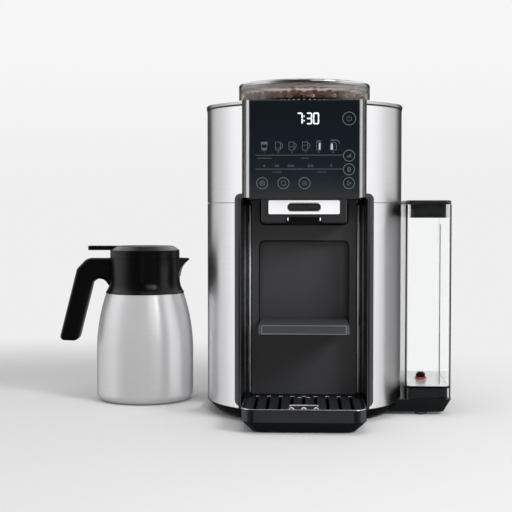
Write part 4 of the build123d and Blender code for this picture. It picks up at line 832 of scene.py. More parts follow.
CLOCK_INK = LitInk("clock_ink", (0.92, 0.95, 1.0), 0.4)
# Painted glow: bluish ink for a wider copy of the clock digits, standing in for their light spreading in the glass
PAINTED_GLOW_INK = LitInk("painted_glow_ink", (0.095, 0.115, 0.180), 0.5)
RING_INK = LitInk("ring_ink", (0.105, 0.110, 0.115), 0.5)
SIGN_INK = LitInk("sign_ink", (0.068, 0.072, 0.076), 0.5)
FILL_INK = LitInk("fill_ink", (0.30, 0.31, 0.32), 0.5)
MARK_INK = LitInk("mark_ink", (0.75, 0.75, 0.75), 0.5, glow=0.0)
BADGE_ENAMEL = MouldedPlastic("badge_enamel", (0.012, 0.012, 0.013), 0.16, grain=300.0, depth=0.00001,
                              cloud=0.06)
# Painted shade: near-black for the strips in the gaps round the panel's pocket and notch
PAINTED_GAP_SHADE = Rubber("painted_gap_shade", (0.0015, 0.0018, 0.002), 0.7)
PALE_SEAL = Rubber("pale_seal", (0.55, 0.55, 0.54), 0.6)
ROD_CHROME = PolishedMetal("rod_chrome", (0.60, 0.60, 0.61), 0.20)
# Painted highlight and painted shade on the display rods
ROD_PAINTED_LIGHT = PaintedLightRod("rod_painted_light", (0.58, 0.58, 0.585), 0.20)
# Painted reflection: grey for the line inside the tank's front wall
REFLECTION_LINE_GREY = MouldedPlastic("reflection_line_grey", (0.26, 0.265, 0.27), 0.30)
# Painted light: near-white for the sheet on the tank's floor
PALE_TANK_FLOOR_PAINT = MouldedPlastic("tank_floor_painted_light", (0.97, 0.98, 0.98), 0.05, depth=0.000002, cloud=0.03, mirror=1.0)
HOUSING_DARK = MouldedPlastic("housing_dark", (0.021, 0.022, 0.024), 0.40)
DOCK_BLACK = MouldedPlastic("dock_black", (0.009, 0.013, 0.014), 0.25)
# Painted glints: grey for the strips round the front edges of the cup shelf
SHELF_PAINTED_GLINT = MouldedPlastic("shelf_painted_glint", (0.17, 0.175, 0.18), 0.30)
TRAY_BLACK = MouldedPlastic("tray_black", (0.006, 0.009, 0.011), 0.14, grain=240.0, depth=0.00002, cloud=0.05)
# Painted highlight: pale grey for the strips on the bay's ledges
PAINTED_LEDGE_HIGHLIGHT = MouldedPlastic("painted_ledge_highlight", (0.66, 0.66, 0.67), 0.30)
# Painted glints: near-white for the strips at the grid's slots and for the hoops at its holes
PAINTED_GLINT_WHITE = MouldedPlastic("painted_glint_white", (0.80, 0.80, 0.81), 0.25)
GRID_GREY = MouldedPlastic("grid_grey", (0.016, 0.020, 0.023), 0.30)

NODE_SLOTS: dict[str, str] = {part["node"]: part["material_slot"] for part in frame["record"]["subparts"]}


def dress(name: str, finish: Finish) -> None:
    """Gives a CAD node its finish.

    Args:
        name: the node's name.
        finish: the finish to give.
    """
    node = frame["nodes"][name]
    material = finish.material()
    if not node.data.materials:
        node.data.materials.append(material)
    for slot in node.material_slots:
        slot.material = material
    LOG.info("dressed %s as %s", name, material.name)


class Workpiece:
    """Points and faces of one new piece, gathered before its mesh is made."""

    def __init__(self) -> None:
        """Starts empty."""
        self.points: list[Vector] = []
        self.faces: list[tuple[int, ...]] = []

    def add(self, points: Sequence[Vector], faces: Sequence[Sequence[int]]) -> None:
        """Takes in more points and faces.

        Args:
            points: the points.
            faces: the faces, numbered from the first of these points.
        """
        start = len(self.points)
        self.points.extend(points)
        self.faces.extend(tuple(start + index for index in face) for face in faces)

    def rings(self, rings: Sequence[Sequence[Vector]], closed: bool) -> None:
        """Joins equal rings of points by quads.

        Args:
            rings: the rings, in order.
            closed: whether the last joins the first; otherwise both ends are capped.
        """
        count = len(rings)
        size = len(rings[0])
        faces: list[tuple[int, ...]] = []
        for ring in range(count if closed else count - 1):
            here = ring * size
            there = (ring + 1) % count * size
            for index in range(size):
                other = (index + 1) % size
                faces.append((here + index, here + other, there + other, there + index))
        if not closed:
            faces.append(tuple(range(size)))
            faces.append(tuple((count - 1) * size + index for index in range(size)))
        self.add([point for ring in rings for point in ring], faces)

    def build(self, name: str, body: Body, finish: Finish, smooth: bool = False) -> bpy.types.Object:
        """Makes the object, with its faces turned outwards, and lets it ride on a body.

        Args:
            name: name of the piece.
            body: body that carries it.
            finish: its finish.
            smooth: whether its faces are shaded smooth.

        Returns:
            The new object.
        """
        mesh = bpy.data.meshes.new(name)
        mesh.from_pydata(self.points, [], self.faces)
        shell = bmesh.new()
        shell.from_mesh(mesh)
        bmesh.ops.recalc_face_normals(shell, faces=shell.faces)
        shell.to_mesh(mesh)
        shell.free()
        mesh.polygons.foreach_set("use_smooth", [smooth] * len(mesh.polygons))
        mesh.materials.append(finish.material())
        made = add_object(name, mesh)
        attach(made, body.value)
        LOG.info("made %s on %s: %d faces", name, body.value, len(mesh.polygons))
        return made


def polar(centre: Spot, radius: float, angle: float) -> Spot:
    """The spot at a distance and an angle in degrees from a centre."""
    turn = math.radians(angle)
    return (centre[0] + radius * math.cos(turn), centre[1] + radius * math.sin(turn))


def arc(centre: Spot, radius: float, start: float, end: float, steps: int) -> list[Spot]:
    """Points on an arc.

    Args:
        centre: middle of the arc.
        radius: its radius.
        start: first angle in degrees.
        end: last angle in degrees.
        steps: spaces between the points.

    Returns:
        The points, both ends included.
    """
    return [polar(centre, radius, start + (end - start) * step / steps) for step in range(steps + 1)]


def circle(centre: Spot, radius: float, steps: int) -> list[Spot]:
    """Points on a full circle."""
    return arc(centre, radius, 0.0, 360.0, steps)[:-1]


def shift(path: Outline, spot: Spot) -> list[Spot]:
    """A path moved so that its origin lies at a spot."""
    return [(spot[0] + x, spot[1] + y) for x, y in path]


def pill(middle: Spot, half: float, radius: float, turned: bool = False, steps: int = 12) -> list[Spot]:
    """Outline with two round ends.

    Args:
        middle: its middle.
        half: from the middle to the centre of each end.
        radius: radius of the ends.
        turned: whether it stands upright.
        steps: spaces between the points of one end.

    Returns:
        The outline's points.
    """
    points = arc((half, 0.0), radius, -90.0, 90.0, steps) + arc((-half, 0.0), radius, 90.0, 270.0, steps)
    if turned:
        points = [(-y, x) for x, y in points]
    return shift(points, middle)


def bracket(half: float, ends: float, cross: float, corner: float, steps: int) -> list[Spot]:
    """Path of two upright legs joined by a cross stretch with rounded corners.

    Args:
        half: from the middle to each leg.
        ends: height of the legs' free ends.
        cross: height of the cross stretch, over or under the ends.
        corner: radius of the corners.
        steps: spaces between the points of a corner.

    Returns:
        The points, from the left end to the right.
    """
    side = math.copysign(1.0, cross - ends)
    across = half - corner
    height = cross - side * corner
    left = arc((-across, height), corner, 180.0, 180.0 - side * 90.0, steps)
    right = arc((across, height), corner, side * 90.0, 0.0, steps)
    return [(-half, ends), *left, *right, (half, ends)]


def ridge(width: float, height: float, sunk: float = 0.1, shoulder: float = 0.6,
          crest: float = 0.4) -> list[Spot]:
    """Cross-section of a low strip with cut corners.

    Args:
        width: its width.
        height: its height over the face.
        sunk: how deep it reaches into the face.
        shoulder: share of the height where the cut corners start.
        crest: share of the width that stays flat on top.

    Returns:
        The points, as distance to the left of the strip's path and height over the face.
    """
    half = width / 2
    left = [(half, -sunk), (half, height * shoulder), (half * crest, height)]
    return left + [(-x, z) for x, z in reversed(left)]


def bead(width: float, height: float, sunk: float = 0.1) -> list[Spot]:
    """Cross-section of a half-round strip.

    Args:
        width: its width.
        height: its height over the face.
        sunk: how deep it reaches into the face.

    Returns:
        The points, as distance to the left of the strip's path and height over the face.
    """
    half = width / 2
    crest = [(x * half, z * height) for x, z in arc(CENTRE, 1.0, 0.0, 180.0, 8)]
    return [(half, -sunk), *crest, (-half, -sunk)]


@dataclass(frozen=True)
class Sign:
    """Printed sign, measured from its own foot or middle: strokes with their widths, and filled fields."""

    loops: tuple[Stroke, ...] = ()
    lines: tuple[Stroke, ...] = ()
    fields: tuple[Outline, ...] = ()
    bright: tuple[Outline, ...] = ()


@dataclass
class Artwork:
    """Marks and strips on a flat face, as thin solids, in millimetres from a point of the face."""

    origin: Vector
    right: Vector
    up: Vector
    lift: float = 0.02
    thickness: float = 0.08
    mitre_limit: float = 0.5

    def __post_init__(self) -> None:
        """Starts with no marks."""
        self.piece = Workpiece()
        self.out = self.right.cross(self.up)

    @classmethod
    def front(cls, node: str, height: float) -> Artwork:
        """Artwork on the front of a node, measured from its middle at a height in metres."""
        return cls(Vector((middle_of(node).x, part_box(node)[0].y, height)), RIGHT, UP)

    @classmethod
    def top(cls, node: str) -> Artwork:
        """Artwork on the top of a node, measured from the middle of its front edge."""
        low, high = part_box(node)
        return cls(Vector((middle_of(node).x, low.y, high.z)), RIGHT, BACK)

    def at(self, spot: Spot, height: float) -> Vector:
        """A spot of the face, at a height in front of it."""
        return self.origin + (self.right * spot[0] + self.up * spot[1] + self.out * height) * MM

    def stroke(self, path: Outline, width: float, closed: bool = False) -> None:
        """Flat line of even width.

        Args:
            path: its middle line.
            width: its width.
            closed: whether it returns to its start.
        """
        high = self.lift + self.thickness
        half = width / 2
        self.mould(path, ((half, self.lift), (half, high), (-half, high), (-half, self.lift)), closed)

    def mould(self, path: Outline, profile: Outline, closed: bool = False) -> None:
        """Strip of an even cross-section.

        Args:
            path: its middle line.
            profile: the cross-section, as distance to the left of the path and height over the face.
            closed: whether it returns to its start.
        """
        count = len(path)
        rings: list[list[Vector]] = []
        for index, spot in enumerate(path):
            before = path[index - 1] if index or closed else spot
            after = path[(index + 1) % count] if index < count - 1 or closed else spot
            into = Vector((spot[0] - before[0], spot[1] - before[1])).normalized()
            away = Vector((after[0] - spot[0], after[1] - spot[1])).normalized()
            along = (into + away).normalized()
            leg = away if away.length else into
            reach = 1.0 / max(self.mitre_limit, along.dot(leg))
            left = (-along.y * reach, along.x * reach)
            rings.append([self.at((spot[0] + left[0] * offset, spot[1] + left[1] * offset), height)
                          for offset, height in profile])
        self.piece.rings(rings, closed)

    def ring(self, centre: Spot, radius: float, width: float, steps: int = 40) -> None:
        """Round line."""
        self.stroke(circle(centre, radius, steps), width, closed=True)

    def fill(self, path: Outline) -> None:
        """Flat filled outline."""
        self.crown([(path, height) for height in (self.lift, self.lift + self.thickness)])

    def crown(self, layers: Sequence[tuple[Outline, float]]) -> None:
        """Solid between outlines with the same count of points, each at its height over the face."""
        self.piece.rings([[self.at(spot, height) for spot in path] for path, height in layers], closed=False)

    def sign(self, sign: Sign, spot: Spot) -> None:
        """Strokes and fields of a sign, apart from its bright fields.

        Args:
            sign: the sign.
            spot: where its origin goes.
        """
        for path, width in sign.loops:
            self.stroke(shift(path, spot), width, closed=True)
        for path, width in sign.lines:
            self.stroke(shift(path, spot), width)
        for path in sign.fields:
            self.fill(shift(path, spot))

    def digit(self, sign: str, corner: Spot, size: Spot, weight: float) -> None:
        """Clock digit made of strokes with pointed ends.

        Args:
            sign: the digit.
            corner: its lower left corner.
            size: its width and height, outside.
            weight: width of a stroke.
        """
        half = weight / 2
        wide = size[0] - weight
        high = (size[1] - weight) / 2
        foot = Vector((corner[0] + half, corner[1] + half))
        for segment in DIGITS[sign]:
            start, end = (foot + Vector((x * wide, y * high)) for x, y in segment.value)
            along = (end - start).normalized() * half
            side = Vector((-along.y, along.x))
            near, far = start + along, end - along
            path = [start, near + side, far + side, end, far - side, near - side]
            self.fill([tuple(spot) for spot in path])


@dataclass
class SubAssembly:
    """Pieces of the machine that belong together: CAD nodes to dress, and what is added to them."""

    nodes: Names = ()
    special: Special = ()

    def make(self) -> None:
        """Dresses the nodes, by their slots or specially, and adds the other pieces."""
        for name in self.nodes:
            dress(name, FINISHES[NODE_SLOTS[name]])
        for name, finish in self.special:
            dress(name, finish)
        self.add_pieces()

    def add_pieces(self) -> None:
        """Adds pieces beyond the CAD nodes; a plain sub-assembly has none."""


@dataclass
class Casing(SubAssembly):
    """Drum body: plinth, steel sheets, decks, rear cover and trim."""

    nodes: Names = ("base_pan", "rubber_feet", "lower_sheets", "upper_sheets", "rear_cover", "case_screws",
                    "top_deck", "top_trim", "mid_deck")


HAIR = 0.55
ICE_CUBE: Outline = ((-1.2, -1.2), (1.2, -1.2), (1.2, 1.2), (-1.2, 1.2))
BEAN_SLIM = 0.7
BEAN_CREASE: Outline = ((0.18, 0.7), (-0.14, 0.0), (0.10, -0.7))
SHELL_WEIGHT = 0.28
CREASE_WEIGHT = 0.22
RINSE_TURNS = (20.0, 200.0)
RINSE_HEAD: tuple[Spot, ...] = ((3.0, 160.0), (1.9, 130.0), (4.1, 130.0))


def mug(level: float) -> Sign:
    """Mug with a handle.

    Args:
        level: height that it is filled to.

    Returns:
        The sign.
    """
    outline = ((-4.0, 10.4), (-4.0, 1.2), (-2.8, 0.0), (1.4, 0.0), (2.6, 1.2), (2.6, 10.4))
    handle = ((2.6, 8.6), (4.6, 8.4), (5.6, 6.8), (5.2, 4.2), (3.9, 2.6), (2.6, 2.3))
    surface = ((-3.2, level), (1.8, level))
    return Sign(loops=((outline, HAIR),), lines=((handle, HAIR), (surface, 0.45)))


def beans(count: int, size: float, pitch: float = 3.0) -> Sign:
    """Row of coffee beans with their creases.

    Args:
        count: how many beans.
        size: half of a bean's length.
        pitch: from one bean to the next.

    Returns:
        The sign.
    """
    shell = [(BEAN_SLIM * x, y) for x, y in circle(CENTRE, size, 14)]
    crease = [(x * size, y * size) for x, y in BEAN_CREASE]
    spots = [((index - (count - 1) / 2) * pitch, 0.0) for index in range(count)]
    return Sign(loops=tuple((shift(shell, spot), size * SHELL_WEIGHT) for spot in spots),
                lines=tuple((shift(crease, spot), size * CREASE_WEIGHT) for spot in spots))


GLASS = Sign(
    loops=((((-4.2, 10.4), (-2.9, 0.0), (2.9, 0.0), (4.2, 10.4)), HAIR),),
    fields=(((-3.7, 7.4), (3.7, 7.4), (4.0, 9.9), (-4.0, 9.9)),
            ((-2.6, 0.6), (2.6, 0.6), (2.9, 2.8), (-2.9, 2.8))),
)
FLASK = Sign(
    loops=((((-2.8, 10.2), (-2.5, 0.0), (2.5, 0.0), (2.8, 10.2)), HAIR),),
    lines=((((-3.0, 11.6), (3.0, 11.6)), 0.9),),
    bright=(((0.1, 0.6), (2.1, 0.6), (2.3, 9.0), (0.1, 9.0)),),
)
JUG = Sign(
    loops=((((-2.9, 10.0), (-3.9, 5.0), (-3.9, 0.0), (3.9, 0.0), (3.9, 5.0), (2.9, 10.0)), HAIR),),
    lines=((((-3.4, 12.6), (4.2, 12.8), (6.6, 11.6), (8.0, 8.6)), 0.8),),
    bright=(((-3.3, 0.6), (-0.6, 0.6), (-0.6, 8.4), (-2.6, 8.4), (-3.3, 5.0)),),
)
ICE = Sign(loops=tuple((shift(ICE_CUBE, (x, 0.0)), 0.4) for x in (-2.2, 1.6)))
DROP = Sign(loops=(([(0.0, 1.9), *arc((0.0, -0.3), 1.2, 35.0, -215.0, 10)], 0.4),))
POWER = Sign(lines=((arc(CENTRE, 3.1, 125.0, 415.0, 22), HAIR), (((0.0, 0.6), (0.0, 3.9)), HAIR)))
BARS = Sign(lines=tuple((((x, -2.2), (x, top)), 1.0) for x, top in ((-2.0, -0.4), (0.0, 1.0), (2.0, 2.4))))
PLAY = Sign(loops=((((-1.7, -2.6), (2.9, 0.0), (-1.7, 2.6)), HAIR),))
GEAR = Sign(
    loops=((circle(CENTRE, 1.2, 16), 0.5), (circle(CENTRE, 2.7, 20), 0.5)),
    lines=tuple(((polar(CENTRE, 2.9, turn), polar(CENTRE, 3.8, turn)), 0.8) for turn in range(0, 360, 45)),
)
RINSE = Sign(
    lines=tuple((arc(CENTRE, 3.0, turn, turn + 135.0, 12), HAIR) for turn in RINSE_TURNS),
    fields=tuple([polar(CENTRE, radius, turn + ahead) for radius, ahead in RINSE_HEAD]
                 for turn in RINSE_TURNS),
)
WAVE = [(0.5 * math.sin(step * 1.1), step * 0.7 - 2.8) for step in range(9)]
STEAM = Sign(lines=tuple((shift(WAVE, (x, 0.0)), 0.5) for x in (-1.9, 0.0, 1.9)))


@dataclass
class DisplayPanel(SubAssembly):
    """Black glass with a lit clock and printed touch marks, between two chrome rods."""

    nodes: Names = ("display_housing", "display_glass", "circuit_boards")
    # the rods carry a painted highlight on the inner face and painted shade on the outer edge
    special: Special = (("trim_rods", ROD_PAINTED_LIGHT),)
    print_right: float = 1.5
    clock: tuple[tuple[str, float], ...] = (("7", -11.0), ("3", 1.1), ("0", 10.0))
    clock_low: float = 86.3
    clock_size: Spot = (7.4, 14.6)
    clock_weight: float = 1.2
    clock_lift: float = 0.12
    halo_width: float = 0.7
    colon_x: float = -1.7
    colon_shares: Spot = (0.3, 0.7)
    colon_size: float = 0.55
    ring_x: float = 56.2
    ring_radius: float = 7.2
    ring_width: float = 0.6
    power_height: float = 93.4
    power_radius: float = 8.3
    scale_left: float = -63.8
    scale_right: float = 48.4
    tick_span: Spot = (0.3, 1.1)
    cups: tuple[Sign, ...] = (GLASS, mug(2.6), mug(4.4), mug(6.4), FLASK, JUG)
    cups_x: tuple[float, ...] = (-53.1, -34.6, -17.2, 0.2, 17.2, 36.0)
    cups_low: float = 53.0
    number_size: Spot = (1.3, 2.2)
    number_weight: float = 0.35
    number_drop: float = 3.6
    size_scale: float = 46.6
    size_tick: float = -42.6
    size_dashes: tuple[Spot, ...] = ((-62.5, -43.5), (-5.5, 4.0))
    size_button_drop: float = 0.8
    taste_scale: float = 28.7
    taste_tick: float = -6.3
    taste_dashes: tuple[Spot, ...] = ((-42.5, -30.5), (16.0, 27.0))
    taste_button_drop: float = 0.5
    tastes: tuple[Sign, ...] = (beans(1, 1.25), beans(2, 1.25), beans(3, 1.25), ICE, DROP)
    tastes_x: tuple[float, ...] = (-53.0, -36.5, -18.5, 7.0, 33.5)
    tastes_rise: float = 4.0
    dash_drop: float = 3.9
    dash_width: float = 0.5
    button_low: float = 10.5
    buttons_x: tuple[float, ...] = (-55.6, -28.2, -1.0)

    def add_pieces(self) -> None:
        """Prints the glass."""
        low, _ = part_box("display_glass")
        origin = Vector((middle_of("display_glass").x + self.print_right * MM, low.y, low.z))
        halo, rings, signs, fills = (Artwork(origin, RIGHT, UP) for _ in range(4))
        lit = Artwork(origin, RIGHT, UP, lift=self.clock_lift)
        # the halo is a painted glow round the digits
        self.print_clock(halo, self.halo_width)
        self.print_clock(lit, 0.0)
        self.print_cups(signs, fills)
        self.print_scales(signs)
        self.print_buttons(rings, signs)
        halo.piece.build("clock_painted_glow", Body.MACHINE, PAINTED_GLOW_INK)
        lit.piece.build("clock_digits", Body.MACHINE, CLOCK_INK)
        rings.piece.build("panel_rings", Body.MACHINE, RING_INK)
        signs.piece.build("panel_signs", Body.MACHINE, SIGN_INK)
        fills.piece.build("panel_fills", Body.MACHINE, FILL_INK)

    def print_clock(self, art: Artwork, spread: float) -> None:
        """Clock digits with a colon.

        Args:
            art: artwork to print on.
            spread: how much each stroke is wider on both sides.
        """
        weight = self.clock_weight + 2.0 * spread
        size = (self.clock_size[0] + 2.0 * spread, self.clock_size[1] + 2.0 * spread)
        for sign, left in self.clock:
            art.digit(sign, (left - spread, self.clock_low - spread), size, weight)
        for share in self.colon_shares:
            spot = (self.colon_x, self.clock_low + self.clock_size[1] * share)
            art.fill(circle(spot, weight * self.colon_size, 10))

    def print_cups(self, art: Artwork, fills: Artwork) -> None:
        """Row of drinking vessels of rising size, each over its plain number.

        Args:
            art: artwork of the lines.
            fills: artwork of the brighter filled fields.
        """
        for index, (x, sign) in enumerate(zip(self.cups_x, self.cups)):
            art.sign(sign, (x, self.cups_low))
            for path in sign.bright:
                fills.fill(shift(path, (x, self.cups_low)))
            corner = (x - self.number_size[0] / 2, self.cups_low - self.number_drop)
            art.digit(str(index + 1), corner, self.number_size, self.number_weight)

    def print_scales(self, art: Artwork) -> None:
        """Two long scales that end in touch rings, with ticks, dashes and plain signs.

        Args:
            art: artwork to print on.
        """
        for height, tick, dashes in ((self.size_scale, self.size_tick, self.size_dashes),
                                     (self.taste_scale, self.taste_tick, self.taste_dashes)):
            art.stroke([(self.scale_left, height), (self.scale_right, height)], HAIR)
            for x in (self.scale_left, tick):
                art.stroke([(x, height + end) for end in self.tick_span], HAIR)
            for dash in dashes:
                art.stroke([(x, height - self.dash_drop) for x in dash], self.dash_width)
        for x, sign in zip(self.tastes_x, self.tastes):
            art.sign(sign, (x, self.taste_scale + self.tastes_rise))

    def print_buttons(self, rings: Artwork, art: Artwork) -> None:
        """Touch rings with plain signs.

        Args:
            rings: artwork of the rings.
            art: artwork of the signs.
        """
        settings_x, rinse_x, steam_x = self.buttons_x
        low = self.button_low
        power = (self.ring_x, self.power_height)
        rings.ring(power, self.power_radius, self.ring_width)
        art.sign(POWER, power)
        for sign, spot in ((BARS, (self.ring_x, self.size_scale - self.size_button_drop)),
                           (beans(1, 2.8), (self.ring_x, self.taste_scale - self.taste_button_drop)),
                           (PLAY, (self.ring_x, low)), (GEAR, (settings_x, low)), (RINSE, (rinse_x, low)),
                           (STEAM, (steam_x, low))):
            rings.ring(spot, self.ring_radius, self.ring_width)
            art.sign(sign, spot)


def swing(chance: random.Random, reach: float) -> float:
    """A random value between a reach below and above zero."""
    return chance.uniform(-reach, reach)


@dataclass
class BeanHopper(SubAssembly):
    """Smoked hopper with its lid and a mound of beans."""

    nodes: Names = ("hopper",)
    special: Special = (("hopper_lid", LID_FINISH), ("lid_seal", PALE_SEAL))
    floor: float = 0.4214
    inner_radius: float = 0.0862
    mound_edge: float = 0.0045
    mound_middle: float = 0.0095
    bed_share: float = 0.93
    bed_rings: int = 6
    bed_sides: int = 40
    bed_drop: float = 0.0024
    # the bed takes a roast darker than any loose bean: painted shade between the beans
    bed_shade_roast: float = 0.1
    bean_size: Triple = (0.0052, 0.0037, 0.0029)
    bean_rings: int = 7
    bean_sides: int = 12
    fullness: float = 0.8
    flat_share: float = 0.45
    crease_depth: float = 0.35
    crease_width: float = 0.22
    spacing: float = 0.0078
    row_share: float = 0.87
    edge_gap: float = 0.0068
    stray: float = 0.0016
    heave: float = 0.0012
    roll: float = 0.6
    pitch: float = 0.5
    wall_gap: float = 0.0044
    wall_spacing: float = 0.0098
    wall_levels: Spot = (0.0037, 0.0066)
    wall_stray: float = 0.02
    wall_heave: Spot = (-0.0006, 0.0016)
    wall_roll: float = 0.25
    wall_tilt: float = 0.35
    sizes: Spot = (0.9, 1.08)
    roasts: Spot = (0.15, 1.0)
    seed: int = 11

    def add_pieces(self) -> None:
        """Pours the beans: one mesh with a roast value for each bean."""
        centre = middle_of("hopper")
        middle = Vector((centre.x, centre.y, self.floor))
        chance = random.Random(self.seed)
        piece = Workpiece()
        piece.rings(self.bed(middle), closed=False)
        # painted shade: the bed is darker than any loose bean
        roast = [self.bed_shade_roast] * len(piece.points)
        points, faces = self.bean()
        for place in self.mound_places(chance) + self.wall_places(chance):
            size = chance.uniform(*self.sizes)
            piece.add([middle + place @ (point * size) for point in points], faces)
            roast.extend([chance.uniform(*self.roasts)] * len(points))
        made = piece.build("coffee_beans", Body.MACHINE, BEAN_FINISH, smooth=True)
        made.data.attributes.new("roast", "FLOAT", "POINT").data.foreach_set("value", roast)

    def height(self, radius: float) -> float:
        """Height of the mound above the hopper's floor at a distance from the middle."""
        share = min(1.0, radius / self.inner_radius)
        return self.mound_edge + (self.mound_middle - self.mound_edge) * (1.0 - share ** 2)

    def bed(self, middle: Vector) -> list[list[Vector]]:
        """Rings of the bed under the loose beans, painted darker than any bean as the shade between them.

        Args:
            middle: middle of the hopper's floor.

        Returns:
            The rings, from the foot to the top.
        """
        outer = self.inner_radius * self.bed_share
        radii = [outer * step / self.bed_rings for step in range(self.bed_rings, 0, -1)]
        levels = [(outer, 0.0), *((radius, self.height(radius) - self.bed_drop) for radius in radii)]
        return [[middle + Vector((x, y, height)) for x, y in circle(CENTRE, radius, self.bed_sides)]
                for radius, height in levels]

    def bean(self) -> tuple[list[Vector], list[tuple[int, ...]]]:
        """One bean lying on its rounded back, its creased flat side up.

        Returns:
            Its points and faces.
        """
        long, wide, thick = self.bean_size
        rings, sides = self.bean_rings, self.bean_sides
        points = [Vector((-long, 0.0, 0.0)), Vector((long, 0.0, 0.0))]
        for ring in range(1, rings):
            turn = math.pi * ring / rings
            swell = math.sin(turn) ** self.fullness
            for side in range(sides):
                angle = math.tau * side / sides
                y = wide * swell * math.cos(angle)
                z = thick * swell * math.sin(angle)
                if z > 0:
                    crease = math.exp(-(y / (self.crease_width * wide)) ** 2)
                    z = z * self.flat_share - self.crease_depth * thick * swell * crease
                points.append(Vector((-long * math.cos(turn), y, z)))
        faces: list[tuple[int, ...]] = []
        last = 2 + (rings - 2) * sides
        for side in range(sides):
            other = (side + 1) % sides
            faces.append((0, 2 + other, 2 + side))
            faces.append((1, last + side, last + other))
            for ring in range(rings - 2):
                row = 2 + ring * sides
                faces.append((row + side, row + other, row + sides + other, row + sides + side))
        return points, faces

    def mound_places(self, chance: random.Random) -> list[Matrix]:
        """Places of the beans that lie loose on the mound.

        Args:
            chance: source of chance.

        Returns:
            A matrix for each bean.
        """
        found: list[Matrix] = []
        reach = self.inner_radius - self.edge_gap
        rows = int(reach / self.spacing) + 1
        for row in range(-rows, rows + 1):
            for column in range(-rows - 1, rows + 2):
                x = (column + 0.5 * (row % 2)) * self.spacing + swing(chance, self.stray)
                y = row * self.spacing * self.row_share + swing(chance, self.stray)
                roll = chance.choice((0.0, math.pi)) + swing(chance, self.roll)
                turn = Euler((roll, swing(chance, self.pitch), chance.uniform(0.0, math.tau)))
                z = self.height(math.hypot(x, y)) + swing(chance, self.heave)
                if math.hypot(x, y) < reach:
                    found.append(Matrix.Translation((x, y, z)) @ turn.to_matrix().to_4x4())
        return found

    def wall_places(self, chance: random.Random) -> list[Matrix]:
        """Places of the beans in two rows against the wall.

        Args:
            chance: source of chance.

        Returns:
            A matrix for each bean.
        """
        found: list[Matrix] = []
        ring = self.inner_radius - self.wall_gap
        count = int(math.tau * ring / self.wall_spacing)
        for level, height in enumerate(self.wall_levels):
            for index in range(count):
                angle = math.tau * (index + 0.5 * level) / count + swing(chance, self.wall_stray)
                turn = Euler((math.pi / 2 + swing(chance, self.wall_roll), 0.0, angle + math.pi / 2))
                tilt = Matrix.Rotation(swing(chance, self.wall_tilt), 4, "Y")
                z = height + chance.uniform(*self.wall_heave)
                spot = Matrix.Translation((ring * math.cos(angle), ring * math.sin(angle), z))
                found.append(spot @ turn.to_matrix().to_4x4() @ tilt)
        return found


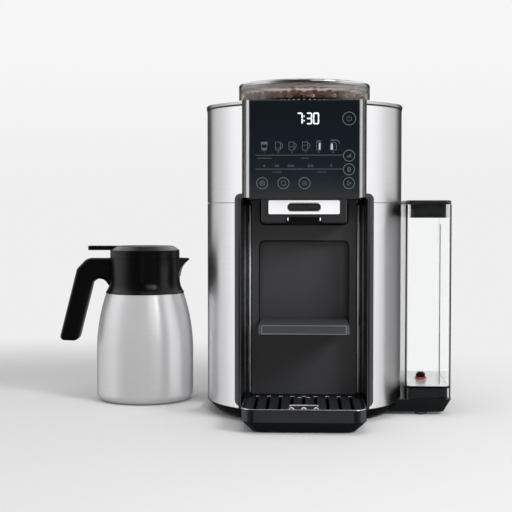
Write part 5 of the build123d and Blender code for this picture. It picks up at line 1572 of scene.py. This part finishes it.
@dataclass
class BrewBay(SubAssembly):
    """Bay with its frame, spout head, panel, fold-down shelf and grounds bin."""

    nodes: Names = ("bay_frame", "spout_plate", "spout_nozzle", "bay_panel", "cup_shelf", "shelf_plate",
                    "shelf_rod", "grounds_bin")
    special: Special = (("spout_housing", HOUSING_DARK),)
    badge_half: float = 16.4
    badge_radius: float = 5.6
    badge_rim: float = 1.1
    badge_height: float = 1.0
    badge_gap: float = 0.02
    badge_crown: tuple[Spot, ...] = ((1.0, -0.1), (1.0, 0.45), (0.8, 0.58), (0.4, 0.64))
    tick_x: float = 20.9
    tick_half: float = 1.5
    tick_radius: float = 0.7
    tick_drop: float = 2.6
    tick_crown: tuple[Spot, ...] = ((1.0, -0.2), (1.0, 0.3), (0.6, 0.5))
    # sizes of the painted shade lines
    shade_line_width: float = 1.7
    shade_line_height: float = 0.5
    shade_line_corner: float = 6.9
    pocket_half: float = 59.4
    pocket_low: float = 121.0
    pocket_high: float = 235.6
    notch_half: float = 58.4
    notch_low: float = 257.1
    notch_high: float = 289.0
    strip_x: float = 72.2
    strip_low: float = 33.0
    strip_high: float = 283.0
    strip_width: float = 2.2
    strip_lift: float = 0.9
    strip_sunk: float = 0.2
    edge_half: float = 53.2
    edge_inset: float = 0.6
    edge_width: float = 1.0
    edge_lift: float = 0.25
    edge_sunk: float = 0.5

    def add_pieces(self) -> None:
        """Adds badge, ticks, the painted shade lines, the painted highlight strips and the painted glints on the
        shelf's edges.
        """
        self.make_badge()
        self.make_ticks()
        self.make_shade_lines()
        self.make_painted_highlights()
        self.make_shelf_glints()

    def make_badge(self) -> None:
        """Bare pill-shaped badge: chrome rim round a crowned enamel field."""
        middle = middle_of("spout_plate").z
        rim = Artwork.front("spout_plate", middle)
        outline = pill(CENTRE, self.badge_half, self.badge_radius)
        rim.mould(outline, ridge(self.badge_rim, self.badge_height), closed=True)
        rim.piece.build("badge_rim", Body.MACHINE, CHROME)
        field = Artwork.front("spout_plate", middle)
        inner = self.badge_radius - self.badge_rim / 2 - self.badge_gap
        field.crown([(pill(CENTRE, self.badge_half, inner * share), self.badge_height * level)
                     for share, level in self.badge_crown])
        field.piece.build("badge_field", Body.MACHINE, BADGE_ENAMEL)

    def make_ticks(self) -> None:
        """Two chrome ticks at the ends of the nozzle block."""
        _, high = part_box("spout_nozzle")
        art = Artwork.front("spout_nozzle", high.z - self.tick_drop * MM)
        for x in (-self.tick_x, self.tick_x):
            layers = [(self.tick_radius * share, height) for share, height in self.tick_crown]
            art.crown([(pill((x, 0.0), self.tick_half, radius, turned=True, steps=6), height)
                       for radius, height in layers])
        art.piece.build("nozzle_ticks", Body.MACHINE, CHROME)

    def make_shade_lines(self) -> None:
        """Near-black strips on the panel round the pocket of the shelf and round the notch of the spout head:
        painted shade of the gaps there.
        """
        profile = ridge(self.shade_line_width, self.shade_line_height, shoulder=0.5, crest=0.5)
        for name, half, ends, cross in (
                ("pocket_painted_shade", self.pocket_half, self.pocket_low, self.pocket_high),
                ("notch_painted_shade", self.notch_half, self.notch_high, self.notch_low)):
            art = Artwork.front("bay_panel", 0.0)
            art.mould(bracket(half, ends, cross, self.shade_line_corner, steps=8), profile)
            art.piece.build(name, Body.DRAWER, PAINTED_GAP_SHADE)

    def make_painted_highlights(self) -> None:
        """Pale grey strips on the ledges beside the panel: a painted highlight."""
        art = Artwork.front("bay_panel", 0.0)
        profile = ridge(self.strip_width, self.strip_lift, self.strip_sunk)
        for x in (-self.strip_x, self.strip_x):
            art.mould([(x, self.strip_low), (x, self.strip_high)], profile)
        art.piece.build("bay_painted_highlights", Body.MACHINE, PAINTED_LEDGE_HIGHLIGHT, smooth=True)

    def make_shelf_glints(self) -> None:
        """Pale strips round the front of the shelf and its plate: painted glints on its edges."""
        art = Artwork.front("cup_shelf", 0.0)
        profile = ridge(self.edge_width, self.edge_lift, self.edge_sunk, shoulder=0.4, crest=0.5)
        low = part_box("cup_shelf")[0].z / MM + self.edge_inset
        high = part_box("shelf_plate")[1].z / MM - self.edge_inset
        side = self.edge_half
        art.mould([(-side, low), (side, low), (side, high), (-side, high)], profile, closed=True)
        art.piece.build("shelf_painted_glints", Body.SHELF, SHELF_PAINTED_GLINT, smooth=True)


@dataclass
class DripTray(SubAssembly):
    """Drip tray with its bright rim, its grid with painted glints at the rear edges of its slots and on hoops at
    its holes, and its float.
    """

    nodes: Names = ("tray_float",)
    special: Special = (("drip_tray", TRAY_BLACK), ("drip_grid", GRID_GREY))
    rim_half: float = 76.9
    rim_corner: float = 14.9
    rim_bead: Spot = (2.0, 0.7)
    rim_front: float = 1.1
    rim_back: float = 100.0
    pitch: float = 15.4
    slots: int = 4
    slot_end: float = 111.4
    slot_radius: float = 2.3
    slot_arc: Spot = (20.0, 160.0)
    slot_bead: Spot = (1.2, 0.4)
    cross_in: float = 102.5
    cross_half: float = 5.4
    cross_gap: float = 3.3
    bar_in: float = 43.8
    bar_half: float = 16.0
    bar_hook: Spot = (2.0, 4.0)
    bar_bead: Spot = (1.9, 0.7)
    hoop_in: float = 11.0
    hoop_sink: float = 0.2
    hoop_radius: float = 2.9
    hoop_bead: Spot = (1.5, 1.2)
    core_radius: float = 1.3
    core_bead: Spot = (2.6, 0.8)

    def add_pieces(self) -> None:
        """Adds the bright rim, the painted glints at the slots and the hoops with their painted glints."""
        self.make_rim()
        self.make_slot_glints()
        self.make_hoops()

    def make_rim(self) -> None:
        """Bright strip on the rim, along the front and both sides."""
        art = Artwork.top("drip_tray")
        path = bracket(self.rim_half, self.rim_back, self.rim_front, self.rim_corner, steps=10)
        art.mould(path, bead(*self.rim_bead))
        art.piece.build("tray_rim", Body.DRAWER, ROD_CHROME, smooth=True)

    def make_slot_glints(self) -> None:
        """Near-white strips at the rear edges of the grid's slots, cross slots and bar: painted glints."""
        art = Artwork.top("drip_grid")
        slim = bead(*self.slot_bead)
        right, left = self.slot_arc
        for index in range(-self.slots, self.slots + 1):
            art.mould(arc((index * self.pitch, self.slot_end), self.slot_radius, right, left, 12), slim)
        for side, start in ((-1, left), (1, right)):
            end = arc((side * self.cross_half, self.cross_in), self.slot_radius, start, 90.0, 8)
            art.mould([*end, (side * self.cross_gap, self.cross_in + self.slot_radius)], slim)
        half, high = self.bar_half, self.bar_in
        out, low = half + self.bar_hook[0], high - self.bar_hook[1]
        art.mould([(out, low), (half, high), (-half, high), (-out, low)], bead(*self.bar_bead))
        art.piece.build("grid_painted_glints", Body.GRID, PAINTED_GLINT_WHITE, smooth=True)

    def make_hoops(self) -> None:
        """Upright near-white hoops in front of the holes, painted glints, the middle one round a red core."""
        low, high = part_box("drip_grid")
        origin = Vector((middle_of("drip_grid").x, low.y + self.hoop_in * MM, high.z))
        hoops = Artwork(origin, RIGHT, UP)
        for x in (-self.pitch, 0.0, self.pitch):
            hoops.mould(arc((x, -self.hoop_sink), self.hoop_radius, 0.0, 180.0, 18), bead(*self.hoop_bead))
        hoops.piece.build("grid_painted_glint_hoops", Body.GRID, PAINTED_GLINT_WHITE, smooth=True)
        core = Artwork(origin, RIGHT, UP)
        core.mould(arc((0.0, -self.hoop_sink), self.core_radius, 0.0, 180.0, 14), bead(*self.core_bead))
        core.piece.build("level_core", Body.GRID, SIGNAL_RED, smooth=True)


@dataclass
class WaterTank(SubAssembly):
    """Clear tank with its lid, outlet valve and dock."""

    nodes: Names = ("water_tank", "tank_lid", "tank_pin", "tank_valve", "valve_seal")
    special: Special = (("tank_dock", DOCK_BLACK),)
    wall: float = 2.5
    # place and size of the painted reflection line
    reflection_line_x: float = 14.6
    reflection_line_width: float = 1.4
    reflection_line_depth: float = 0.8
    reflection_line_span: Spot = (42.0, 258.0)
    floor_height: float = 39.32
    floor_thick: float = 0.4
    floor_inset: float = 3.0
    floor_corner: float = 7.0
    valve_hole: float = 7.2
    lug_depth: float = 7.9

    def add_pieces(self) -> None:
        """Adds the near-white floor inside the tank, painted light, and the painted reflection line inside the
        front wall.
        """
        self.make_floor()
        self.make_reflection_line()

    def make_floor(self) -> None:
        """Near-white floor inside the tank, with a hole for the valve, painted light that stands in for the
        brightness seen through the clear bottom.
        """
        low, high = (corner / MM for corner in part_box("water_tank"))
        inset = self.floor_inset + self.floor_corner
        left, right = low.x + inset, high.x - inset
        front, back = low.y + inset, high.y - self.lug_depth - inset
        edge: list[Spot] = []
        for index, corner in enumerate(((right, back), (left, back), (left, front), (right, front))):
            edge.extend(arc(corner, self.floor_corner, 90.0 * index, 90.0 * (index + 1), 12))
        valve = middle_of("tank_valve") / MM
        turns = [math.degrees(math.atan2(y - valve.y, x - valve.x)) for x, y in edge]
        hole = [polar((valve.x, valve.y), self.valve_hole, turn) for turn in turns]
        bottom, top = self.floor_height, self.floor_height + self.floor_thick
        layers = ((edge, bottom), (edge, top), (hole, top), (hole, bottom))
        piece = Workpiece()
        piece.rings([[Vector((x, y, height)) * MM for x, y in path] for path, height in layers], closed=True)
        piece.build("tank_floor", Body.TANK, PALE_TANK_FLOOR_PAINT)

    def make_reflection_line(self) -> None:
        """Upright grey strip inside the front wall, a painted reflection line."""
        low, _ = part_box("water_tank")
        origin = Vector((middle_of("water_tank").x + self.reflection_line_x * MM, low.y + self.wall * MM, 0.0))
        art = Artwork(origin, -RIGHT, UP)
        profile = ridge(self.reflection_line_width, self.reflection_line_depth, crest=0.5)
        art.mould([(0.0, height) for height in self.reflection_line_span], profile)
        art.piece.build("tank_reflection_line", Body.TANK, REFLECTION_LINE_GREY, smooth=True)


@dataclass
class Works(SubAssembly):
    """Grinder, brew unit and water circuit inside the casing."""

    nodes: Names = ("grinder_housing", "ring_burr", "cone_burr", "burr_shaft", "drive_gear", "gear_case",
                    "grinder_motor", "motor_pinion", "grounds_chute", "brew_chamber", "brew_piston",
                    "brew_spindle", "brew_motor", "water_pump", "flow_meter", "heater", "hoses")


@dataclass
class MainsFittings(SubAssembly):
    """Mains inlet and rocker switch on the back."""

    nodes: Names = ("power_inlet", "switch_rocker")
    joint: str = "switch_rock"
    tilt: float = 7.0
    face_middle: Spot = (4.78, 4.85)
    face_slope: float = 8.8
    line_half: float = 2.2
    line_width: float = 0.9
    ring_radius: float = 2.1
    ring_width: float = 0.8

    def add_pieces(self) -> None:
        """Marks the rocker's two ends."""
        pivot = next(Vector(joint["pos_m"]) for joint in frame["joints"] if joint["name"] == self.joint)
        line = self.face(pivot, 1)
        line.stroke([(0.0, -self.line_half), (0.0, self.line_half)], self.line_width)
        line.piece.build("rocker_on", Body.ROCKER, MARK_INK)
        ring = self.face(pivot, -1)
        ring.ring(CENTRE, self.ring_radius, self.ring_width, steps=24)
        ring.piece.build("rocker_off", Body.ROCKER, MARK_INK)

    def face(self, pivot: Vector, side: int) -> Artwork:
        """Artwork on one end of the rocker.

        Args:
            pivot: the rocker's axis.
            side: 1 for the upper end, -1 for the lower.

        Returns:
            The empty artwork.
        """
        turn = Matrix.Rotation(math.radians(self.tilt), 3, "X")
        out, along = self.face_middle
        slope = math.radians(self.face_slope) * side
        up = turn @ Vector((0.0, math.sin(slope), math.cos(slope)))
        origin = pivot + turn @ Vector((0.0, out, along * side)) * MM
        return Artwork(origin, -RIGHT, up)


@dataclass
class ThermalCarafe(SubAssembly):
    """Steel carafe with collar, handle, lid and thumb lever."""

    nodes: Names = ("carafe_shell", "carafe_liner", "carafe_collar", "carafe_handle", "carafe_lid",
                    "carafe_lever", "lever_pin")


@dataclass(frozen=True)
class Softbox:
    """Oblong lamp: where it stands, what it faces, its width and height, and its power."""

    name: str
    place: Triple
    target: Triple
    size: Spot
    power: float

    def make(self) -> None:
        """Adds the lamp."""
        lamp = bpy.data.lights.new(self.name, "AREA")
        lamp.shape = "RECTANGLE"
        lamp.size, lamp.size_y = self.size
        lamp.energy = self.power
        made = add_object(self.name, lamp)
        made.location = self.place
        made.rotation_euler = (Vector(self.target) - Vector(self.place)).to_track_quat("-Z", "Y").to_euler()


@dataclass(frozen=True)
class Card:
    """Pale card that bright surfaces mirror; each edge is blurred between two values.

    low and high are the edges of its height, as the upright part of a direction, and turn is its edge towards
    the sides, as a share from straight behind to straight in front.
    """

    low: Spot
    high: Spot
    turn: Spot
    tone: Colour

    def share(self, rise: Wire, front: Wire) -> Wire:
        """1 in the directions that the card fills."""
        return rise.step(*self.low) * rise.step(*self.high) * front.step(*self.turn)


@dataclass
class Studio:
    """Floor, surroundings, lamps and camera."""

    eye: Triple = (0.0789, -1.570, 0.279)
    turn: float = 2.405
    dip: float = 2.385
    lens: float = 80.4
    sensor: float = 36.0
    ambient: float = 0.50
    backdrop: Spot = (0.86, 0.93)
    horizon: Spot = (0.0, 0.16)
    behind_clear: float = 0.955
    floor_tone: float = 0.87
    floor_roughness: float = 0.9
    floor_mirror: float = 0.1
    floor_radius: float = 8.0
    floor_sides: int = 96
    floor_gap: float = 0.0002
    fade_centre: Spot = (-0.27, -0.08)
    fade: Spot = (0.40, 1.05)
    behind_x: Spot = (0.32, 0.28)
    behind_y: Spot = (0.03, 0.10)
    walls: tuple[Spot, ...] = (
        (0.000, 0.86), (0.002, 0.40), (0.008, 0.05), (0.085, 0.05), (0.125, 0.42), (0.170, 0.60),
        (0.230, 0.66), (0.310, 0.76), (0.400, 0.92), (0.470, 1.12), (0.600, 1.20), (0.690, 1.10),
        (0.760, 0.55), (0.860, 0.22), (0.930, 0.09), (1.000, 0.05))
    least_level: float = 0.0001
    deep_tone: float = 0.04
    deep: Spot = (-0.24, -0.45)
    cards: tuple[Card, ...] = (
        Card((-0.30, -0.22), (-0.13, -0.16), (0.9978, 0.9988), (0.75, 0.77, 0.78)),
        Card((-0.035, -0.020), (0.016, 0.009), (0.9978, 0.9988), (1.20, 1.20, 1.21)),
        Card((0.28, 0.44), (0.92, 0.80), (0.75, 0.50), (1.80, 1.80, 1.82)),
    )
    dim_tone: float = 0.16
    dim_share: float = 0.6
    straight_back: Spot = (0.02, 0.01)
    lamps: tuple[Softbox, ...] = (
        Softbox("key_lamp", (1.60, -1.45, 1.45), (-0.05, 0.0, 0.15), (0.7, 0.7), 23.0),
        Softbox("top_lamp", (0.1, -0.3, 1.9), (0.05, 0.0, 0.0), (1.0, 0.9), 5.0),
        Softbox("fill_lamp", (1.10, -1.80, 1.30), (-0.1, 0.0, 0.15), (1.4, 0.8), 9.0),
        Softbox("strip_lamp", (-0.0635, 0.040, 0.10), (-0.20, 0.060, 0.10), (0.04, 0.19), 0.016),
    )

    def make(self) -> None:
        """Sets up the whole studio."""
        self.make_floor()
        self.make_world()
        for lamp in self.lamps:
            lamp.make()
        self.make_camera()

    def make_floor(self) -> None:
        """Pale round floor just under the feet."""
        disc = bmesh.new()
        bmesh.ops.create_circle(disc, cap_ends=True, segments=self.floor_sides, radius=self.floor_radius)
        mesh = bpy.data.meshes.new("studio_floor")
        disc.to_mesh(mesh)
        disc.free()
        mesh.materials.append(new_material("studio_floor", self.shade_floor))
        floor = add_object("studio_floor", mesh)
        floor.location.z = CAD_BOX[0].z - self.floor_gap

    def shade_floor(self, graph: Graph) -> Wire:
        """Dull floor that fades into the backdrop, white behind clear plastic, left out of mirrors.

        Args:
            graph: graph of the floor's material.

        Returns:
            The shader.
        """
        x, y, _ = graph.split(graph.place())
        aside = x - self.fade_centre[0]
        away = y - self.fade_centre[1]
        far = ((aside * aside + away * away) ** 0.5).step(*self.fade)
        near = graph.surface({
            "Base Color": (*grey(self.floor_tone), 1.0),
            "Roughness": self.floor_roughness,
            "Specular IOR Level": self.floor_mirror,
        })
        passed = graph.passed()
        behind = y.step(*self.behind_y) * x.step(*self.behind_x)
        seen = graph.blend(near, graph.glow(self.backdrop[0]), far)
        seen = graph.blend(seen, graph.glow(self.behind_clear), passed)
        clear = graph.node("ShaderNodeBsdfTransparent")
        return graph.blend(seen, clear, graph.mirrored() * (1.0 - passed * behind))

    def make_world(self) -> None:
        """Even light for dull surfaces, pale backdrop for the eye, studio walls and cards for bright ones."""
        world = bpy.data.worlds.new("studio_world")
        world.use_nodes = True
        bpy.context.scene.world = world
        graph = Graph(world.node_tree)
        x, y, z = graph.split(graph.node("ShaderNodeTexCoord", output="Generated"))
        level = (x * x + y * y) ** 0.5
        front = 0.5 - 0.5 * (y / level.larger(self.least_level))
        studio = graph.tint(graph.ramp(front, self.walls), grey(self.deep_tone), z.step(*self.deep))
        for card in self.cards:
            studio = graph.tint(studio, card.tone, card.share(z, front))
        passed = graph.passed()
        pale = graph.tint(grey(self.backdrop[0]), grey(self.backdrop[1]), z.step(*self.horizon))
        seen = graph.tint(grey(self.ambient), pale, graph.path("Is Camera Ray"))
        seen = graph.tint(seen, grey(self.behind_clear), passed)
        dimmed = graph.tint(studio, grey(self.dim_tone), passed * self.dim_share)
        mirrored = graph.mirrored() * (1.0 - passed * front.step(*self.straight_back))
        shade = graph.node("ShaderNodeBackground", sockets={"Color": graph.tint(seen, dimmed, mirrored)})
        graph.node("ShaderNodeOutputWorld", sockets={"Surface": shade})

    def make_camera(self) -> None:
        """Camera at the height of the spout, turned so that the machine stands right of the middle."""
        data = bpy.data.cameras.new("camera")
        data.sensor_width = self.sensor
        data.lens = self.lens
        camera = add_object("camera", data)
        camera.location = self.eye
        camera.rotation_euler = (math.radians(90.0 - self.dip), 0.0, math.radians(self.turn))
        bpy.context.scene.camera = camera
        bpy.context.scene.view_settings.view_transform = "Standard"


def main() -> None:
    """Builds the studio and each sub-assembly in order."""
    logging.basicConfig(level=logging.INFO, format="%(message)s")
    for assembly in (Studio(), Casing(), DisplayPanel(), BeanHopper(), BrewBay(), DripTray(), WaterTank(),
                     Works(), MainsFittings(), ThermalCarafe()):
        assembly.make()
        LOG.info("finished %s", type(assembly).__name__)


if __name__ == "__main__":
    main()
